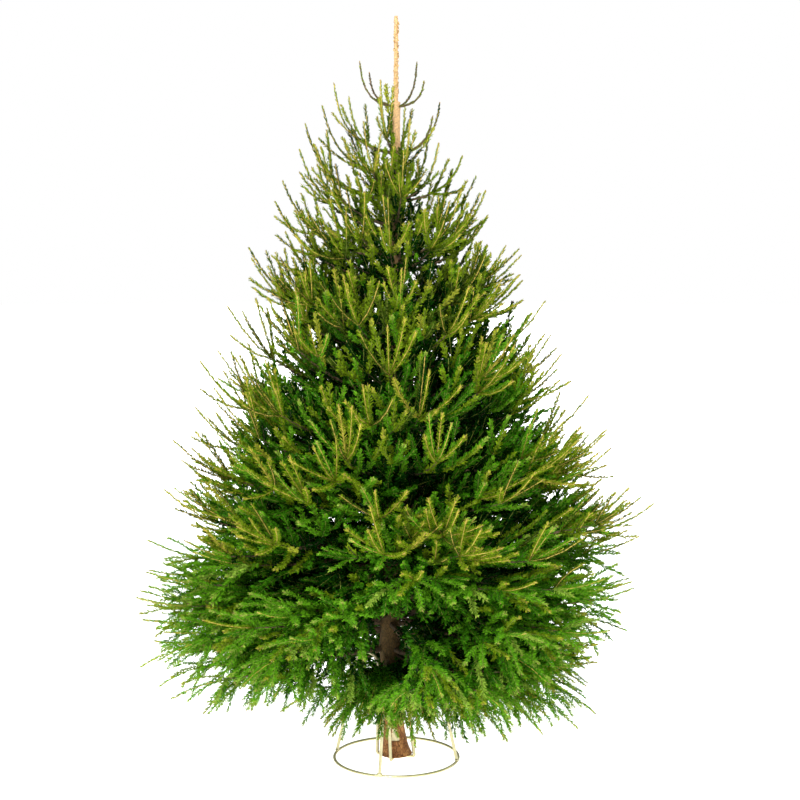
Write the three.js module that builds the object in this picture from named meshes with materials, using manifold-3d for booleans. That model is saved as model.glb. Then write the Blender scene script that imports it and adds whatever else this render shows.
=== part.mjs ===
// A cut spruce, grown for indoors, standing in a bent-wire stand.
// Millimetres, +Z up, floor at Z = 0. Seen from the front, +X is to the right and +Y goes back.

import * as THREE from 'three';
import { mergeVertices } from 'three/addons/utils/BufferGeometryUtils.js';
import Module from 'manifold-3d';

const wasm = await Module();
wasm.setup();

// Gap between pieces that touch, and the shortest edge that a joined piece keeps
const CLEARANCE = 0.3;
const SMALLEST_EDGE = 0.02;

// Trunk
const TREE_HEIGHT = 2100;
const FOOT_HEIGHT = 14;
const TRUNK_SIDES = 10;
const TRUNK_RADIUS_LOW = 33;
const TRUNK_RADIUS_TOP = 10;
const FLARE_WIDTH = 15;
const FLARE_DEPTH = 35;
const BOW_WIDTH = 17;
const BOW_HEIGHT = 330;
const LEADER_RADIUS = 5.5;
const LEADER_TIP_RADIUS = 4.5;
const SWELLING = 0.14;
const SWELLING_SPAN = 16;
const FOOT_LEVELS = [24, 40, 65, 110, 200];
const SWELLING_LEVELS = [-1.6, 0, 1.6];

// Whorls of boughs, from the top down. Height is where a whorl leaves the trunk, reach how far out
// its tips are, rise how far above the root they end, bend how much of that comes at the outer end,
// skew how much further it reaches to the right than to the left. Bough is the bare inner share.
const WHORLS = [
  { height: 1850, reach: 124, rise: 125, bend: 0.45, skew: -0.12, masses: 2, arms: 2, turn: 190, bough: 0 },
  { height: 1722, reach: 170, rise: 160, bend: 0.42, skew: -0.12, masses: 3, arms: 2, turn: 170, bough: 0 },
  { height: 1590, reach: 235, rise: 180, bend: 0.40, skew: -0.12, masses: 3, arms: 2, turn: 215, bough: 0 },
  { height: 1430, reach: 310, rise: 200, bend: 0.40, skew: -0.10, masses: 3, arms: 2, turn: 155, bough: 0 },
  { height: 1250, reach: 398, rise: 180, bend: 0.40, skew: -0.08, masses: 4, arms: 2, turn: 202, bough: 0 },
  { height: 1050, reach: 484, rise: 215, bend: 0.40, skew: -0.04, masses: 4, arms: 2, turn: 157, bough: 0 },
  { height: 850, reach: 580, rise: 180, bend: 0.38, skew: -0.02, masses: 5, arms: 2, turn: 18, bough: 0 },
  { height: 665, reach: 725, rise: 75, bend: 0.27, skew: 0.08, masses: 5, arms: 3, turn: 0, bough: 0.26 },
  { height: 485, reach: 748, rise: 10, bend: 0.13, skew: -0.02, masses: 5, arms: 3, turn: 36, bough: 0.28 },
  { height: 322, reach: 640, rise: -75, bend: -0.17, skew: -0.09, masses: 4, arms: 3, turn: 30, bough: 0.36 },
];

// Limbs
const SEED = 20;
const BOUGH_SIDES = 6;
const BOUGH_STEPS = 2;
const BOUGH_ROOT_RADIUS = 8.5;
const BOUGH_TIP_RADIUS = 5.5;
const TWIG_SIDES = 3;
const STEM_LENGTH = 34;
const ARM_ROOT_RADIUS = 5.5;
const ARM_MIDDLE_RADIUS = 4.5;
const ARM_TIP_RADIUS = 3.5;
const ARM_END = 0.78;
const ARM_INTO_SPRAY = 0.03;
const ARM_TURN_SPREAD = 0.04;
const ARM_LEAST_REACH = 0.94;
const ARM_LIFT_SHARE = 0.45;
const ARM_LIFT_ROOM = 110;

// Sprays. Pairs leave the sides of an arm at these shares of its length, a lone one its back
const SHORT_ARM = 240;
const SHORT_ARM_PAIRS = [0.45];
const LONG_ARM_PAIRS = [0.3, 0.58];
const PAIR_STAGGER = 0.03;
const PAIR_PITCHES = [34, 4];
const PAIR_LENGTH = 0.66;
const BACK_SPRAY = { share: 0.45, side: 0.2, size: 0.4 };
const BACK_PITCH_RISING = 46;
const BACK_PITCH_DROOPING = -38;
const SPRAY_ANGLE = 42;
const SPRAY_ANGLE_SPREAD = 0.15;
const SPRAY_PITCH_SPREAD = 0.15;
const SPRAY_SIZES = [1, 0.8, 0.62];
const SPRAY_WIDTH = 0.46;
const SPRAY_ROLL = 1.1;
const SPRAY_THICKNESS = 0.05;
// Half outline of a spray, as shares of its length and its width: one side shoot, then the tip
const SPRAY_OUTLINE = [[0, 0], [0.27, 0.1], [0.64, 0.5], [0.55, 0.14], [1, 0]];
const SPRAY_MIDDLE = 0.38;

// Room that sprays keep from the neighbouring spaces, the trunk and the floor
const SPACE_MARGIN = 3;
const FLOOR_MARGIN = 30;

// Stand
const RING_RADIUS = 179;
const WIRE_RADIUS = 3.8;
const WIRE_SIDES = 6;
const RING_STEPS = 36;
const WIRE_COUNT = 4;
const WIRE_TURN = 75;
const WIRE_LEAN = 12.8;
const WIRE_HEIGHT = 262;
const INNER_TOP = 36;
const INNER_FOOT = 55;
const UNDER_END = 13;
const UNDER_BEND = 5;
const BEND_STEPS = 6;

const COLOURS = {
  bark: 0x7a5a3c,
  twig: 0x5d4a30,
  needles: 0x3f6b1f,
  wire: 0xd8cc94,
};

const radians = THREE.MathUtils.degToRad;
const UP = new THREE.Vector3(0, 0, 1);

// Same draws in the same order for the same seed
function seeded(seed) {
  let state = seed >>> 0;
  return () => {
    state = (state + 0x6d2b79f5) >>> 0;
    let mixed = Math.imul(state ^ (state >>> 15), state | 1);
    mixed ^= mixed + Math.imul(mixed ^ (mixed >>> 7), mixed | 61);
    return ((mixed ^ (mixed >>> 14)) >>> 0) / 4294967296;
  };
}

function between(random, low, high) {
  return low + (high - low) * random();
}

// Solid from a closed three.js geometry
function solidOf(geometry) {
  const bare = geometry.clone();
  bare.deleteAttribute('normal');
  bare.deleteAttribute('uv');
  const merged = mergeVertices(bare, 1e-4);
  const vertProperties = new Float32Array(merged.attributes.position.array);
  const triVerts = new Uint32Array(merged.index.array);
  return new wasm.Manifold(new wasm.Mesh({ numProp: 3, vertProperties, triVerts }));
}

// Largest closed body of a solid: loose scraps go and sealed hollows are filled
function largestBody(solid) {
  const bodies = solid.decompose();
  return bodies.reduce((best, body) => (body.volume() > best.volume() ? body : best));
}

function geometryOf(solid) {
  const { vertProperties, triVerts } = solid.getMesh();
  const geometry = new THREE.BufferGeometry();
  geometry.setAttribute('position', new THREE.BufferAttribute(new Float32Array(vertProperties), 3));
  geometry.setIndex(new THREE.BufferAttribute(new Uint32Array(triVerts), 1));
  geometry.computeVertexNormals();
  return geometry;
}

// Tapering limb: a cylinder whose rings are laid along the points, each with its own radius. The
// rings are square to the path, or all square to one direction if that is given
function sweep(points, radii, sides, facing = null) {
  const rings = points.length - 1;
  const geometry = new THREE.CylinderGeometry(1, 1, 1, sides, rings);
  const frames = framesAlong(points, facing);
  const position = geometry.attributes.position;
  const vertex = new THREE.Vector3();
  for (let i = 0; i < position.count; i += 1) {
    vertex.fromBufferAttribute(position, i);
    const ring = Math.round((vertex.y + 0.5) * rings);
    const angle = Math.atan2(vertex.x, vertex.z);
    const radius = radii[ring] * Math.hypot(vertex.x, vertex.z);
    const { across, over } = frames[ring];
    vertex.copy(points[ring]);
    vertex.addScaledVector(across, Math.sin(angle) * radius);
    vertex.addScaledVector(over, Math.cos(angle) * radius);
    position.setXYZ(i, vertex.x, vertex.y, vertex.z);
  }
  return solidOf(geometry);
}

// A pair of axes square to the path at each point, carried along without twist
function framesAlong(points, facing) {
  const frames = [];
  let over = null;
  for (let i = 0; i < points.length; i += 1) {
    const before = points[Math.max(i - 1, 0)];
    const after = points[Math.min(i + 1, points.length - 1)];
    const ahead = facing ?? after.clone().sub(before).normalize();
    if (over === null) {
      const upright = Math.abs(ahead.z) > 0.9;
      over = upright ? new THREE.Vector3(0, 1, 0) : UP.clone();
    }
    over = over.clone().addScaledVector(ahead, -over.dot(ahead)).normalize();
    frames.push({ over, across: ahead.clone().cross(over) });
  }
  return frames;
}

// Trunk radius at a height, with the root flare and a swelling at each whorl
function trunkRadius(height) {
  const top = WHORLS[0].height;
  if (height > top + SWELLING_SPAN) {
    const share = (height - top) / (TREE_HEIGHT - top);
    return LEADER_RADIUS + (LEADER_TIP_RADIUS - LEADER_RADIUS) * share;
  }
  const taper = TRUNK_RADIUS_LOW + (TRUNK_RADIUS_TOP - TRUNK_RADIUS_LOW) * (height / top);
  const flare = FLARE_WIDTH * Math.exp(-(height - FOOT_HEIGHT) / FLARE_DEPTH);
  const swell = WHORLS.reduce((most, whorl) => {
    const away = (height - whorl.height) / SWELLING_SPAN;
    return Math.max(most, Math.exp(-away * away));
  }, 0);
  return taper * (1 + SWELLING * swell) + flare;
}

// Sideways bow of the trunk at a height
function trunkBow(height) {
  const share = height / BOW_HEIGHT;
  return -BOW_WIDTH * share * Math.exp(1 - share);
}

function trunkCentre(height) {
  return new THREE.Vector3(trunkBow(height), 0, height);
}

function trunkSolid(extra) {
  const swellings = WHORLS.flatMap(({ height }) => {
    return SWELLING_LEVELS.map((step) => height + step * SWELLING_SPAN);
  });
  const levels = [FOOT_HEIGHT - extra, ...FOOT_LEVELS, ...swellings, TREE_HEIGHT + extra];
  levels.sort((a, b) => a - b);
  const radii = levels.map((height) => trunkRadius(height) + extra);
  return sweep(levels.map(trunkCentre), radii, TRUNK_SIDES, UP);
}

// Height of a whorl's layer at a distance from the tree's axis
function layerHeight(whorl, distance) {
  const share = distance / whorl.reach;
  const slope = whorl.rise / whorl.reach - whorl.bend;
  return whorl.height + whorl.reach * (slope * share + whorl.bend * share * share);
}

function layerPoint(whorl, x, y, lift = 0) {
  return new THREE.Vector3(x, y, layerHeight(whorl, Math.hypot(x, y)) + lift);
}

// Half the room between a layer and the one above or below it
function layerBounds(order, distance) {
  const own = layerHeight(WHORLS[order], distance);
  const above = WHORLS[order - 1];
  const below = WHORLS[order + 1];
  const top = above ? (own + layerHeight(above, distance)) / 2 : Infinity;
  const bottom = below ? (own + layerHeight(below, distance)) / 2 : FLOOR_MARGIN;
  return { top: top - SPACE_MARGIN, bottom: Math.max(bottom + SPACE_MARGIN, FLOOR_MARGIN) };
}

// Where one mass may grow: its own sector of its own layer, clear of the trunk and the stand
function massSpace(order, azimuth) {
  const whorl = WHORLS[order];
  const centre = trunkCentre(whorl.height);
  const halfSector = Math.PI / whorl.masses;
  const standEdge = RING_RADIUS + 3 * WIRE_RADIUS;
  const standTop = WIRE_HEIGHT + INNER_TOP + 2 * WIRE_RADIUS;
  return (point) => {
    const x = point.x - centre.x;
    const away = Math.hypot(x, point.y);
    let turned = Math.atan2(point.y, x) - azimuth;
    turned = Math.abs(Math.atan2(Math.sin(turned), Math.cos(turned)));
    if (turned > halfSector || away * Math.sin(halfSector - turned) < SPACE_MARGIN) return false;
    const bounds = layerBounds(order, Math.hypot(point.x, point.y));
    if (point.z > bounds.top || point.z < bounds.bottom) return false;
    const fromTrunk = Math.hypot(point.x - trunkBow(point.z), point.y);
    if (fromTrunk < trunkRadius(point.z) + SPACE_MARGIN) return false;
    return point.z > standTop || Math.hypot(point.x, point.y) > standEdge;
  };
}

// Toothed blade of one spray: a double pyramid over an outline whose teeth are its side shoots
function spraySolid(root, ahead, over, length) {
  const otherSide = SPRAY_OUTLINE.slice(1, -1).reverse().map(([along, out]) => [along, -out]);
  const outline = [...SPRAY_OUTLINE, ...otherSide];
  const geometry = new THREE.SphereGeometry(1, outline.length, 2);
  const side = ahead.clone().cross(over).normalize();
  const flat = ahead.clone().cross(side).normalize();
  const position = geometry.attributes.position;
  const vertex = new THREE.Vector3();
  for (let i = 0; i < position.count; i += 1) {
    vertex.fromBufferAttribute(position, i);
    const pole = Math.round(vertex.y);
    const turn = Math.atan2(vertex.z, vertex.x) / (2 * Math.PI) + 1;
    const tooth = Math.round(turn * outline.length) % outline.length;
    const [along, out] = pole === 0 ? outline[tooth] : [SPRAY_MIDDLE, 0];
    vertex.copy(root);
    vertex.addScaledVector(ahead, along * length);
    vertex.addScaledVector(side, out * SPRAY_WIDTH * length);
    vertex.addScaledVector(flat, (pole * SPRAY_THICKNESS * length) / 2);
    position.setXYZ(i, vertex.x, vertex.y, vertex.z);
  }
  return solidOf(geometry);
}

function cornersOf(solid) {
  const { vertProperties } = solid.getMesh();
  const corners = [];
  for (let i = 0; i < vertProperties.length; i += 3) {
    corners.push(new THREE.Vector3(...vertProperties.slice(i, i + 3)));
  }
  return corners;
}

// Azimuth of a mass, and the plan of its arms: where each one ends and how far off the layer
function massPlan(order, index) {
  const whorl = WHORLS[order];
  const random = seeded(SEED + 100 * order + index);
  const sector = (2 * Math.PI) / whorl.masses;
  const azimuth = radians(whorl.turn) + sector * index;
  const spacing = layerBounds(order, whorl.reach).top - layerHeight(whorl, whorl.reach);
  const room = ARM_LIFT_SHARE * Math.min(spacing, ARM_LIFT_ROOM);
  const arms = [];
  for (let arm = 0; arm < whorl.arms; arm += 1) {
    const place = arm - (whorl.arms - 1) / 2;
    const stray = between(random, -ARM_TURN_SPREAD, ARM_TURN_SPREAD);
    const turned = azimuth + sector * (place / whorl.arms + stray);
    const full = whorl.reach * (1 + whorl.skew * Math.cos(turned));
    const reach = full * between(random, ARM_LEAST_REACH, 1);
    const lift = room * between(random, -1, 1);
    arms.push({ turned, reach, lift });
  }
  return { azimuth, arms, random };
}

// Points of a limb on its layer, from one distance to another along one azimuth
function limbPoints(whorl, azimuth, from, to, steps) {
  const centre = trunkCentre(whorl.height);
  const points = [];
  for (let i = 0; i <= steps; i += 1) {
    const distance = from + ((to - from) * i) / steps;
    const x = centre.x + distance * Math.cos(azimuth);
    points.push(layerPoint(whorl, x, distance * Math.sin(azimuth)));
  }
  return points;
}

function boughEnd(whorl) {
  return whorl.bough * whorl.reach;
}

// Bare inner limb, from the trunk to where its mass starts
function boughSolid(order, index, trunkRoom) {
  const whorl = WHORLS[order];
  const { azimuth } = massPlan(order, index);
  const points = limbPoints(whorl, azimuth, 0, boughEnd(whorl), BOUGH_STEPS);
  const radii = points.map((_, i) => {
    return BOUGH_ROOT_RADIUS + (BOUGH_TIP_RADIUS - BOUGH_ROOT_RADIUS) * (i / BOUGH_STEPS);
  });
  return largestBody(sweep(points, radii, BOUGH_SIDES).subtract(trunkRoom));
}

// Path of an arm from the fork to its tip, as a function of the share of its length
function armPath(whorl, fork, plan) {
  const centre = trunkCentre(whorl.height);
  const x = centre.x + plan.reach * Math.cos(plan.turned);
  const y = plan.reach * Math.sin(plan.turned);
  return (share) => {
    if (share <= 0) return fork.clone();
    const lift = plan.lift * share;
    return layerPoint(whorl, fork.x + (x - fork.x) * share, fork.y + (y - fork.y) * share, lift);
  };
}

// Twig of an arm. The first arm of a mass carries on from the stem, the others start at the fork
function armSolid(path, stem) {
  const outer = [ARM_END / 2, ARM_END + ARM_INTO_SPRAY].map(path);
  const radii = [ARM_MIDDLE_RADIUS, ARM_TIP_RADIUS];
  if (stem) return sweep([...stem, ...outer], [BOUGH_TIP_RADIUS, ARM_ROOT_RADIUS, ...radii], TWIG_SIDES);
  return sweep([path(0), ...outer], [ARM_MIDDLE_RADIUS, ...radii], TWIG_SIDES);
}

// Sprays of an arm: one that ends at its tip, pairs on its sides, and one on its back or below
function sprayPlan(length, arm, droops) {
  const short = length < SHORT_ARM;
  const plan = [{ share: ARM_END, side: 0, pitch: 0, size: 1 - ARM_END, atTip: true }];
  for (const share of short || arm === 1 ? SHORT_ARM_PAIRS : LONG_ARM_PAIRS) {
    for (const side of [-1, 1]) {
      const pitch = PAIR_PITCHES[(plan.length + arm) % 2];
      plan.push({ share: share + PAIR_STAGGER * side, side, pitch, size: PAIR_LENGTH * (1.1 - share) });
    }
  }
  if (!short && arm === 0) {
    plan.push({ ...BACK_SPRAY, pitch: droops ? BACK_PITCH_DROOPING : BACK_PITCH_RISING });
  }
  return plan;
}

// Which way a spray leaves its arm, and which way its flat side faces
function sprayAxes(path, { share, side, pitch, atTip }, random) {
  const at = path(share);
  const along = path(atTip ? 1 : share + ARM_INTO_SPRAY).sub(at).normalize();
  const turned = radians(SPRAY_ANGLE) * side * (1 + between(random, -1, 1) * SPRAY_ANGLE_SPREAD);
  const tilt = radians(pitch) + between(random, -1, 1) * SPRAY_PITCH_SPREAD;
  const roll = between(random, -1, 1) * SPRAY_ROLL;
  const across = along.clone().cross(UP).normalize();
  const leaving = along.clone().applyAxisAngle(across, tilt).applyAxisAngle(UP, turned);
  const ahead = atTip ? along : leaving;
  return { at, ahead, over: UP.clone().applyAxisAngle(ahead, roll) };
}

// The spray at its full size, or the largest smaller one that stays in the mass's own space
function fittedSpray({ at, ahead, over }, length, inSpace) {
  for (const scale of SPRAY_SIZES) {
    const spray = spraySolid(at, ahead, over, length * scale);
    if (cornersOf(spray).every((corner) => corner.distanceTo(at) < 1 || inSpace(corner))) return spray;
  }
  return null;
}

// One mass: a stem that forks into arms, each with its sprays
function massSolid(order, index, trunkRoom) {
  const whorl = WHORLS[order];
  const { azimuth, arms, random } = massPlan(order, index);
  const inSpace = massSpace(order, azimuth);
  const start = boughEnd(whorl);
  const root = start === 0 ? 0 : start + CLEARANCE;
  const forkAt = (start === 0 ? trunkRadius(whorl.height) : start) + STEM_LENGTH;
  const stem = limbPoints(whorl, azimuth, root, forkAt, 1);
  const pieces = [];
  arms.forEach((plan, arm) => {
    const path = armPath(whorl, stem[1], plan);
    const length = path(0).distanceTo(path(1));
    pieces.push(armSolid(path, arm === 0 ? stem : null));
    for (const spray of sprayPlan(length, arm, whorl.rise < 0)) {
      const axes = sprayAxes(path, spray, random);
      const reach = spray.atTip ? path(1).distanceTo(axes.at) : spray.size * length;
      const solid = fittedSpray(axes, reach, inSpace);
      if (solid) pieces.push(solid);
    }
  });
  return largestBody(wasm.Manifold.union(pieces).subtract(trunkRoom)).simplify(SMALLEST_EDGE);
}

// Floor ring with a flat underside
function ringSolid() {
  const flat = WIRE_RADIUS * Math.cos(Math.PI / WIRE_SIDES);
  const section = [];
  for (let i = 0; i <= WIRE_SIDES; i += 1) {
    const angle = (2 * Math.PI * (i % WIRE_SIDES)) / WIRE_SIDES;
    const out = RING_RADIUS + WIRE_RADIUS * Math.cos(angle);
    section.push(new THREE.Vector2(out, flat + WIRE_RADIUS * Math.sin(angle)));
  }
  const geometry = new THREE.LatheGeometry(section, RING_STEPS);
  geometry.rotateX(Math.PI / 2);
  const solid = solidOf(geometry);
  return solid.volume() > 0 ? solid : solidOf(geometry.scale(1, -1, 1));
}

// One wire of the stand: up from the ring, over the top, down beside the trunk and under its foot
function wireSolid(index) {
  const azimuth = radians(WIRE_TURN + (360 / WIRE_COUNT) * index);
  const lean = radians(WIRE_LEAN);
  const ringTop = 2 * WIRE_RADIUS * Math.cos(Math.PI / WIRE_SIDES);
  const start = ringTop + CLEARANCE + WIRE_RADIUS * Math.sin(lean);
  const outerTop = RING_RADIUS - (WIRE_HEIGHT - start) * Math.tan(lean);
  const middle = (outerTop + INNER_TOP) / 2;
  const bendRadius = (outerTop - INNER_TOP) / 2;
  const points = [];
  const place = (out, height, besideTrunk) => {
    const x = out * Math.cos(azimuth) + trunkBow(height) * besideTrunk;
    points.push(new THREE.Vector3(x, out * Math.sin(azimuth), height));
  };
  place(RING_RADIUS, start, 0);
  for (let i = 0; i <= BEND_STEPS; i += 1) {
    const angle = (Math.PI * i) / BEND_STEPS;
    const height = WIRE_HEIGHT + bendRadius * Math.sin(angle);
    place(middle + bendRadius * Math.cos(angle), height, i / BEND_STEPS);
  }
  const under = FOOT_HEIGHT - CLEARANCE - WIRE_RADIUS;
  const footSteps = BEND_STEPS / 2;
  for (let i = 0; i <= footSteps; i += 1) {
    const angle = (Math.PI / 2) * (i / footSteps);
    const out = INNER_FOOT - UNDER_BEND * (1 - Math.cos(angle));
    place(out, under + UNDER_BEND * (1 - Math.sin(angle)), 1);
  }
  place(UNDER_END, under, 1);
  return sweep(points, points.map(() => WIRE_RADIUS), WIRE_SIDES);
}

function material(colour, roughness, metalness) {
  return new THREE.MeshStandardMaterial({ color: colour, roughness, metalness, flatShading: true });
}

function named(name, solid, finish) {
  const mesh = new THREE.Mesh(geometryOf(solid), finish);
  mesh.name = name;
  return mesh;
}

// The tree is assembled on the floor under its trunk, then moved so that the origin is under the
// middle of its whole outline
function assemble() {
  const bark = material(COLOURS.bark, 0.9, 0);
  const twig = material(COLOURS.twig, 0.9, 0);
  const needles = material(COLOURS.needles, 0.7, 0);
  const wire = material(COLOURS.wire, 0.35, 0.9);
  const tree = new THREE.Group();
  tree.add(named('trunk', trunkSolid(0), bark));
  const trunkRoom = trunkSolid(CLEARANCE);
  WHORLS.forEach((whorl, order) => {
    for (let index = 0; index < whorl.masses; index += 1) {
      const place = `${order + 1}_${index + 1}`;
      if (whorl.bough > 0) tree.add(named(`bough_${place}`, boughSolid(order, index, trunkRoom), twig));
      tree.add(named(`foliage_${place}`, massSolid(order, index, trunkRoom), needles));
    }
  });
  tree.add(named('stand_ring', ringSolid(), wire));
  for (let index = 0; index < WIRE_COUNT; index += 1) {
    tree.add(named(`stand_wire_${index + 1}`, wireSolid(index), wire));
  }
  const outline = new THREE.Box3().setFromObject(tree);
  const centre = outline.getCenter(new THREE.Vector3());
  tree.position.set(-centre.x, -centre.y, -outline.min.z);
  return tree;
}

export default assemble();
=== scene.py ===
import math
from collections import namedtuple

import bmesh
import bpy
import numpy as np
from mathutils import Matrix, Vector


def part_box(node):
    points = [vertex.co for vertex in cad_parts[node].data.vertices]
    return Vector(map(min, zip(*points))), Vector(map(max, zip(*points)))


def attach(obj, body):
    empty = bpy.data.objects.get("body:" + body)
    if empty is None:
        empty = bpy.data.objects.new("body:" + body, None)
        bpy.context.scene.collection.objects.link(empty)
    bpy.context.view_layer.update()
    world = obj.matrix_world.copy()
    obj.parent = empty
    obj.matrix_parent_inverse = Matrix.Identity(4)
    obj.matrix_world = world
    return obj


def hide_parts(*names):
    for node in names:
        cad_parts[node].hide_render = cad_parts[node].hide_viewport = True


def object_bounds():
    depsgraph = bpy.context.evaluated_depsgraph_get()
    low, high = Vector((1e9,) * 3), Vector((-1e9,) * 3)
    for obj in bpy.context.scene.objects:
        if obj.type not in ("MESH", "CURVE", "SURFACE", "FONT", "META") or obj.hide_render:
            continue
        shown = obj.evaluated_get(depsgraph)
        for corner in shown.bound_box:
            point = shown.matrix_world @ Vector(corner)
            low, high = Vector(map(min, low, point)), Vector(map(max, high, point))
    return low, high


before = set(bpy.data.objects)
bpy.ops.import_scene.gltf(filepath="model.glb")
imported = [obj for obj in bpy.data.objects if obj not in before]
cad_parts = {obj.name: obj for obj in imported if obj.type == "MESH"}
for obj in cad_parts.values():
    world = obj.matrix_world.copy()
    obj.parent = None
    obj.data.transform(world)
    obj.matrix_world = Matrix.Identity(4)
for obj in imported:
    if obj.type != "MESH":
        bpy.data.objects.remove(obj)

bl_info = {
    "name": "Cut spruce in a wire stand",
    "version": (1, 0, 0),
    "blender": (4, 5, 0),
    "location": "3D View > Sidebar > Spruce",
    "description": "Bark, twigs, needles and wire of a cut spruce, grown by one seeded rule",
    "category": "Add Mesh",
}

CAD_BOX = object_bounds()

# Trunk, in metres, as the CAD model has it
TREE_HEIGHT = 2.1
FOOT_HEIGHT = 0.014
TRUNK_RADIUS_LOW = 0.033
TRUNK_RADIUS_TOP = 0.010
FLARE_WIDTH = 0.015
FLARE_DEPTH = 0.035
BOW_WIDTH = 0.017
BOW_HEIGHT = 0.33
LEADER_RADIUS = 0.0055
LEADER_TIP_RADIUS = 0.0045
SWELLING = 0.14
SWELLING_SPAN = 0.016

# Whorls of boughs, from the top down, with the CAD model's own numbers in metres
Whorl = namedtuple("Whorl", "height reach rise bend skew masses arms turn bough")
WHORLS = [
    Whorl(1.850, 0.124, 0.125, 0.45, -0.12, 2, 2, 190, 0),
    Whorl(1.722, 0.170, 0.160, 0.42, -0.12, 3, 2, 170, 0),
    Whorl(1.590, 0.235, 0.180, 0.40, -0.12, 3, 2, 215, 0),
    Whorl(1.430, 0.310, 0.200, 0.40, -0.10, 3, 2, 155, 0),
    Whorl(1.250, 0.398, 0.180, 0.40, -0.08, 4, 2, 202, 0),
    Whorl(1.050, 0.484, 0.215, 0.40, -0.04, 4, 2, 157, 0),
    Whorl(0.850, 0.580, 0.180, 0.38, -0.02, 5, 2, 18, 0),
    Whorl(0.665, 0.725, 0.075, 0.27, 0.08, 5, 3, 0, 0.26),
    Whorl(0.485, 0.748, 0.010, 0.13, -0.02, 5, 3, 36, 0.28),
    Whorl(0.322, 0.640, -0.075, -0.17, -0.09, 4, 3, 30, 0.36),
]
SEED = 20
LAST_ORDER = len(WHORLS) - 1
STEM_LENGTH = 0.034
ARM_TURN_SPREAD = 0.04
ARM_LEAST_REACH = 0.94
ARM_LIFT_SHARE = 0.45
ARM_LIFT_ROOM = 0.110
SPACE_MARGIN = 0.003
BOUGH_ROOT_RADIUS = 0.0085
BOUGH_TIP_RADIUS = 0.0055
BOUGH_POINTS = 7
# Wood of an arm: at its tip, at its root, and how much thicker with each year and where it leaves a bough
ARM_TIP_RADIUS = 0.0017
ARM_ROOT_RADIUS = 0.0022
ARM_YEAR_RADIUS = 0.0011
ARM_FORK_RADIUS = 0.0008
# An arm's course is held clear of the gap at this many points
ARM_CHECKS = 9
# Where the draws of each kind of growth start
MASS_SEED = 7000
BETWEEN_SEED = 9000
BETWEEN_PATH_SEED = 3000
SKIRT_SEED = 3100
LOW_SEED = 8000
SIDE_SEED = 8100
TONE_SEED = 501

# Yearly growth. Weights run from the youngest year inwards
YEAR_LENGTH = 0.118
YEAR_WEIGHTS = (1.4, 1.12, 1.0)
YEAR_SPANS = 3
# The whorls above this one have their curves drawn twice as finely
FINE_ORDERS = 5
MOST_LEVEL = 3
# Side limbs of a node, level by level: the turn round the limb in degrees, and the chance of one.
# 0 and 180 are its two sides, 90 its back and -90 below
CLUSTERS = (
    ((0, 1.0), (180, 1.0), (65, 0.9), (115, 0.75), (-90, 0.65)),
    ((0, 0.85), (180, 0.85), (90, 0.5), (-90, 0.3)),
    ((0, 0.5), (180, 0.5), (90, 0.15)),
)
CLUSTER_SPREAD = 24
# Angles between a side limb and the limb that bears it, in degrees
SIDE_ANGLES = (36, 50)
# Length of a side limb as a share of the limb beyond its node, and at most: beside the last node, on the
# back and below, and on the two sides
LAST_NODE_SHARES = (0.62, 0.92)
UPRIGHT_SHARES = (0.4, 0.6)
UPRIGHT_MOST = 0.19
UPRIGHT_SINE = 0.7
SIDE_SHARES = (0.5, 0.78)
SIDE_MOST = 0.30
# A side limb that would end outside the crown is tried again at these shares of its length
SIDE_TRIES = (1, 0.8, 0.6, 0.4)
# Whorls from this one down bear short shoots between their nodes as well: how many on each age of an arm
SMALL_SIDES_FROM = 4
SMALL_SIDE_COUNTS = (0, 2, 3, 3)
SMALL_SIDE_STARTS = (0.2, 0.9)
SMALL_SIDE_LENGTHS = (0.028, 0.065)
SMALL_SIDE_ANGLE = math.radians(50)
# Tips keep this far off the floor, and farther away from the trunk and towards the front.
# The foot of the crown sags towards one side, and its edge is uneven
FLOOR_ROOM = 0.108
FLOOR_CLIMB = 0.15
FLOOR_CLIMB_FROM = 0.25
FRONT_CLIMB = 0.50
FRONT_CLIMB_FROM = 0.17
SAG = 0.040
SAG_TURN = math.radians(312)
FLOOR_WAVE = 0.020
FLOOR_WAVES = 9
ARM_TIP_ROOM = 0.030
# The crown's outline below its lowest tips and at its top, as heights and radii
FOOT_OUTLINE = [(0.0, 0.10), (0.10, 0.24), (0.16, 0.55)]
TOP_OUTLINE = [(TREE_HEIGHT, 0.02)]
# Gap in the front of the lower crown, through which the trunk shows. It climbs towards the front, and
# widens from this share of its width at the trunk
GAP_MIDDLE = -0.022
GAP_HALF_WIDTH = 0.056
GAP_WIDTH_AT_TRUNK = 0.5
GAP_START = 0.10
GAP_LOW = 0.262
GAP_HIGH = 0.415
GAP_LOW_CLIMB = 0.278
GAP_HIGH_CLIMB = 0.232
# Room that the tips leave inside the crown's outline for their needles
NEEDLE_ROOM = 0.013
# How strongly side shoots turn outwards and upwards, whorl by whorl
PULLS = [(0.2, 0.9)] * 6 + [(0.35, 0.85), (0.5, 0.4), (0.5, -0.25), (0.25, -0.95)]
# Share by which an arm leaves the trunk flatter and ends more upright than its layer, whorl by whorl
CURLS = (0.85, 0.75, 0.55, 0.4, 0.25, 0.15, 0.1, 0.0, 0.0, 0.0)
# Share of the side limbs that the whorls bear: fewest at the top
FULLNESS = (0.0, 0.4, 0.6, 0.85, 1.0, 1.0, 1.0, 1.0, 1.0, 1.0)
# Share of its length by which the youngest shoot of a limb turns up at its tip
TIP_LIFTS = (0.0, 0.1, 0.12, 0.15, 0.2, 0.25, 0.28, 0.25, 0.12, -0.25)
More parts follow.
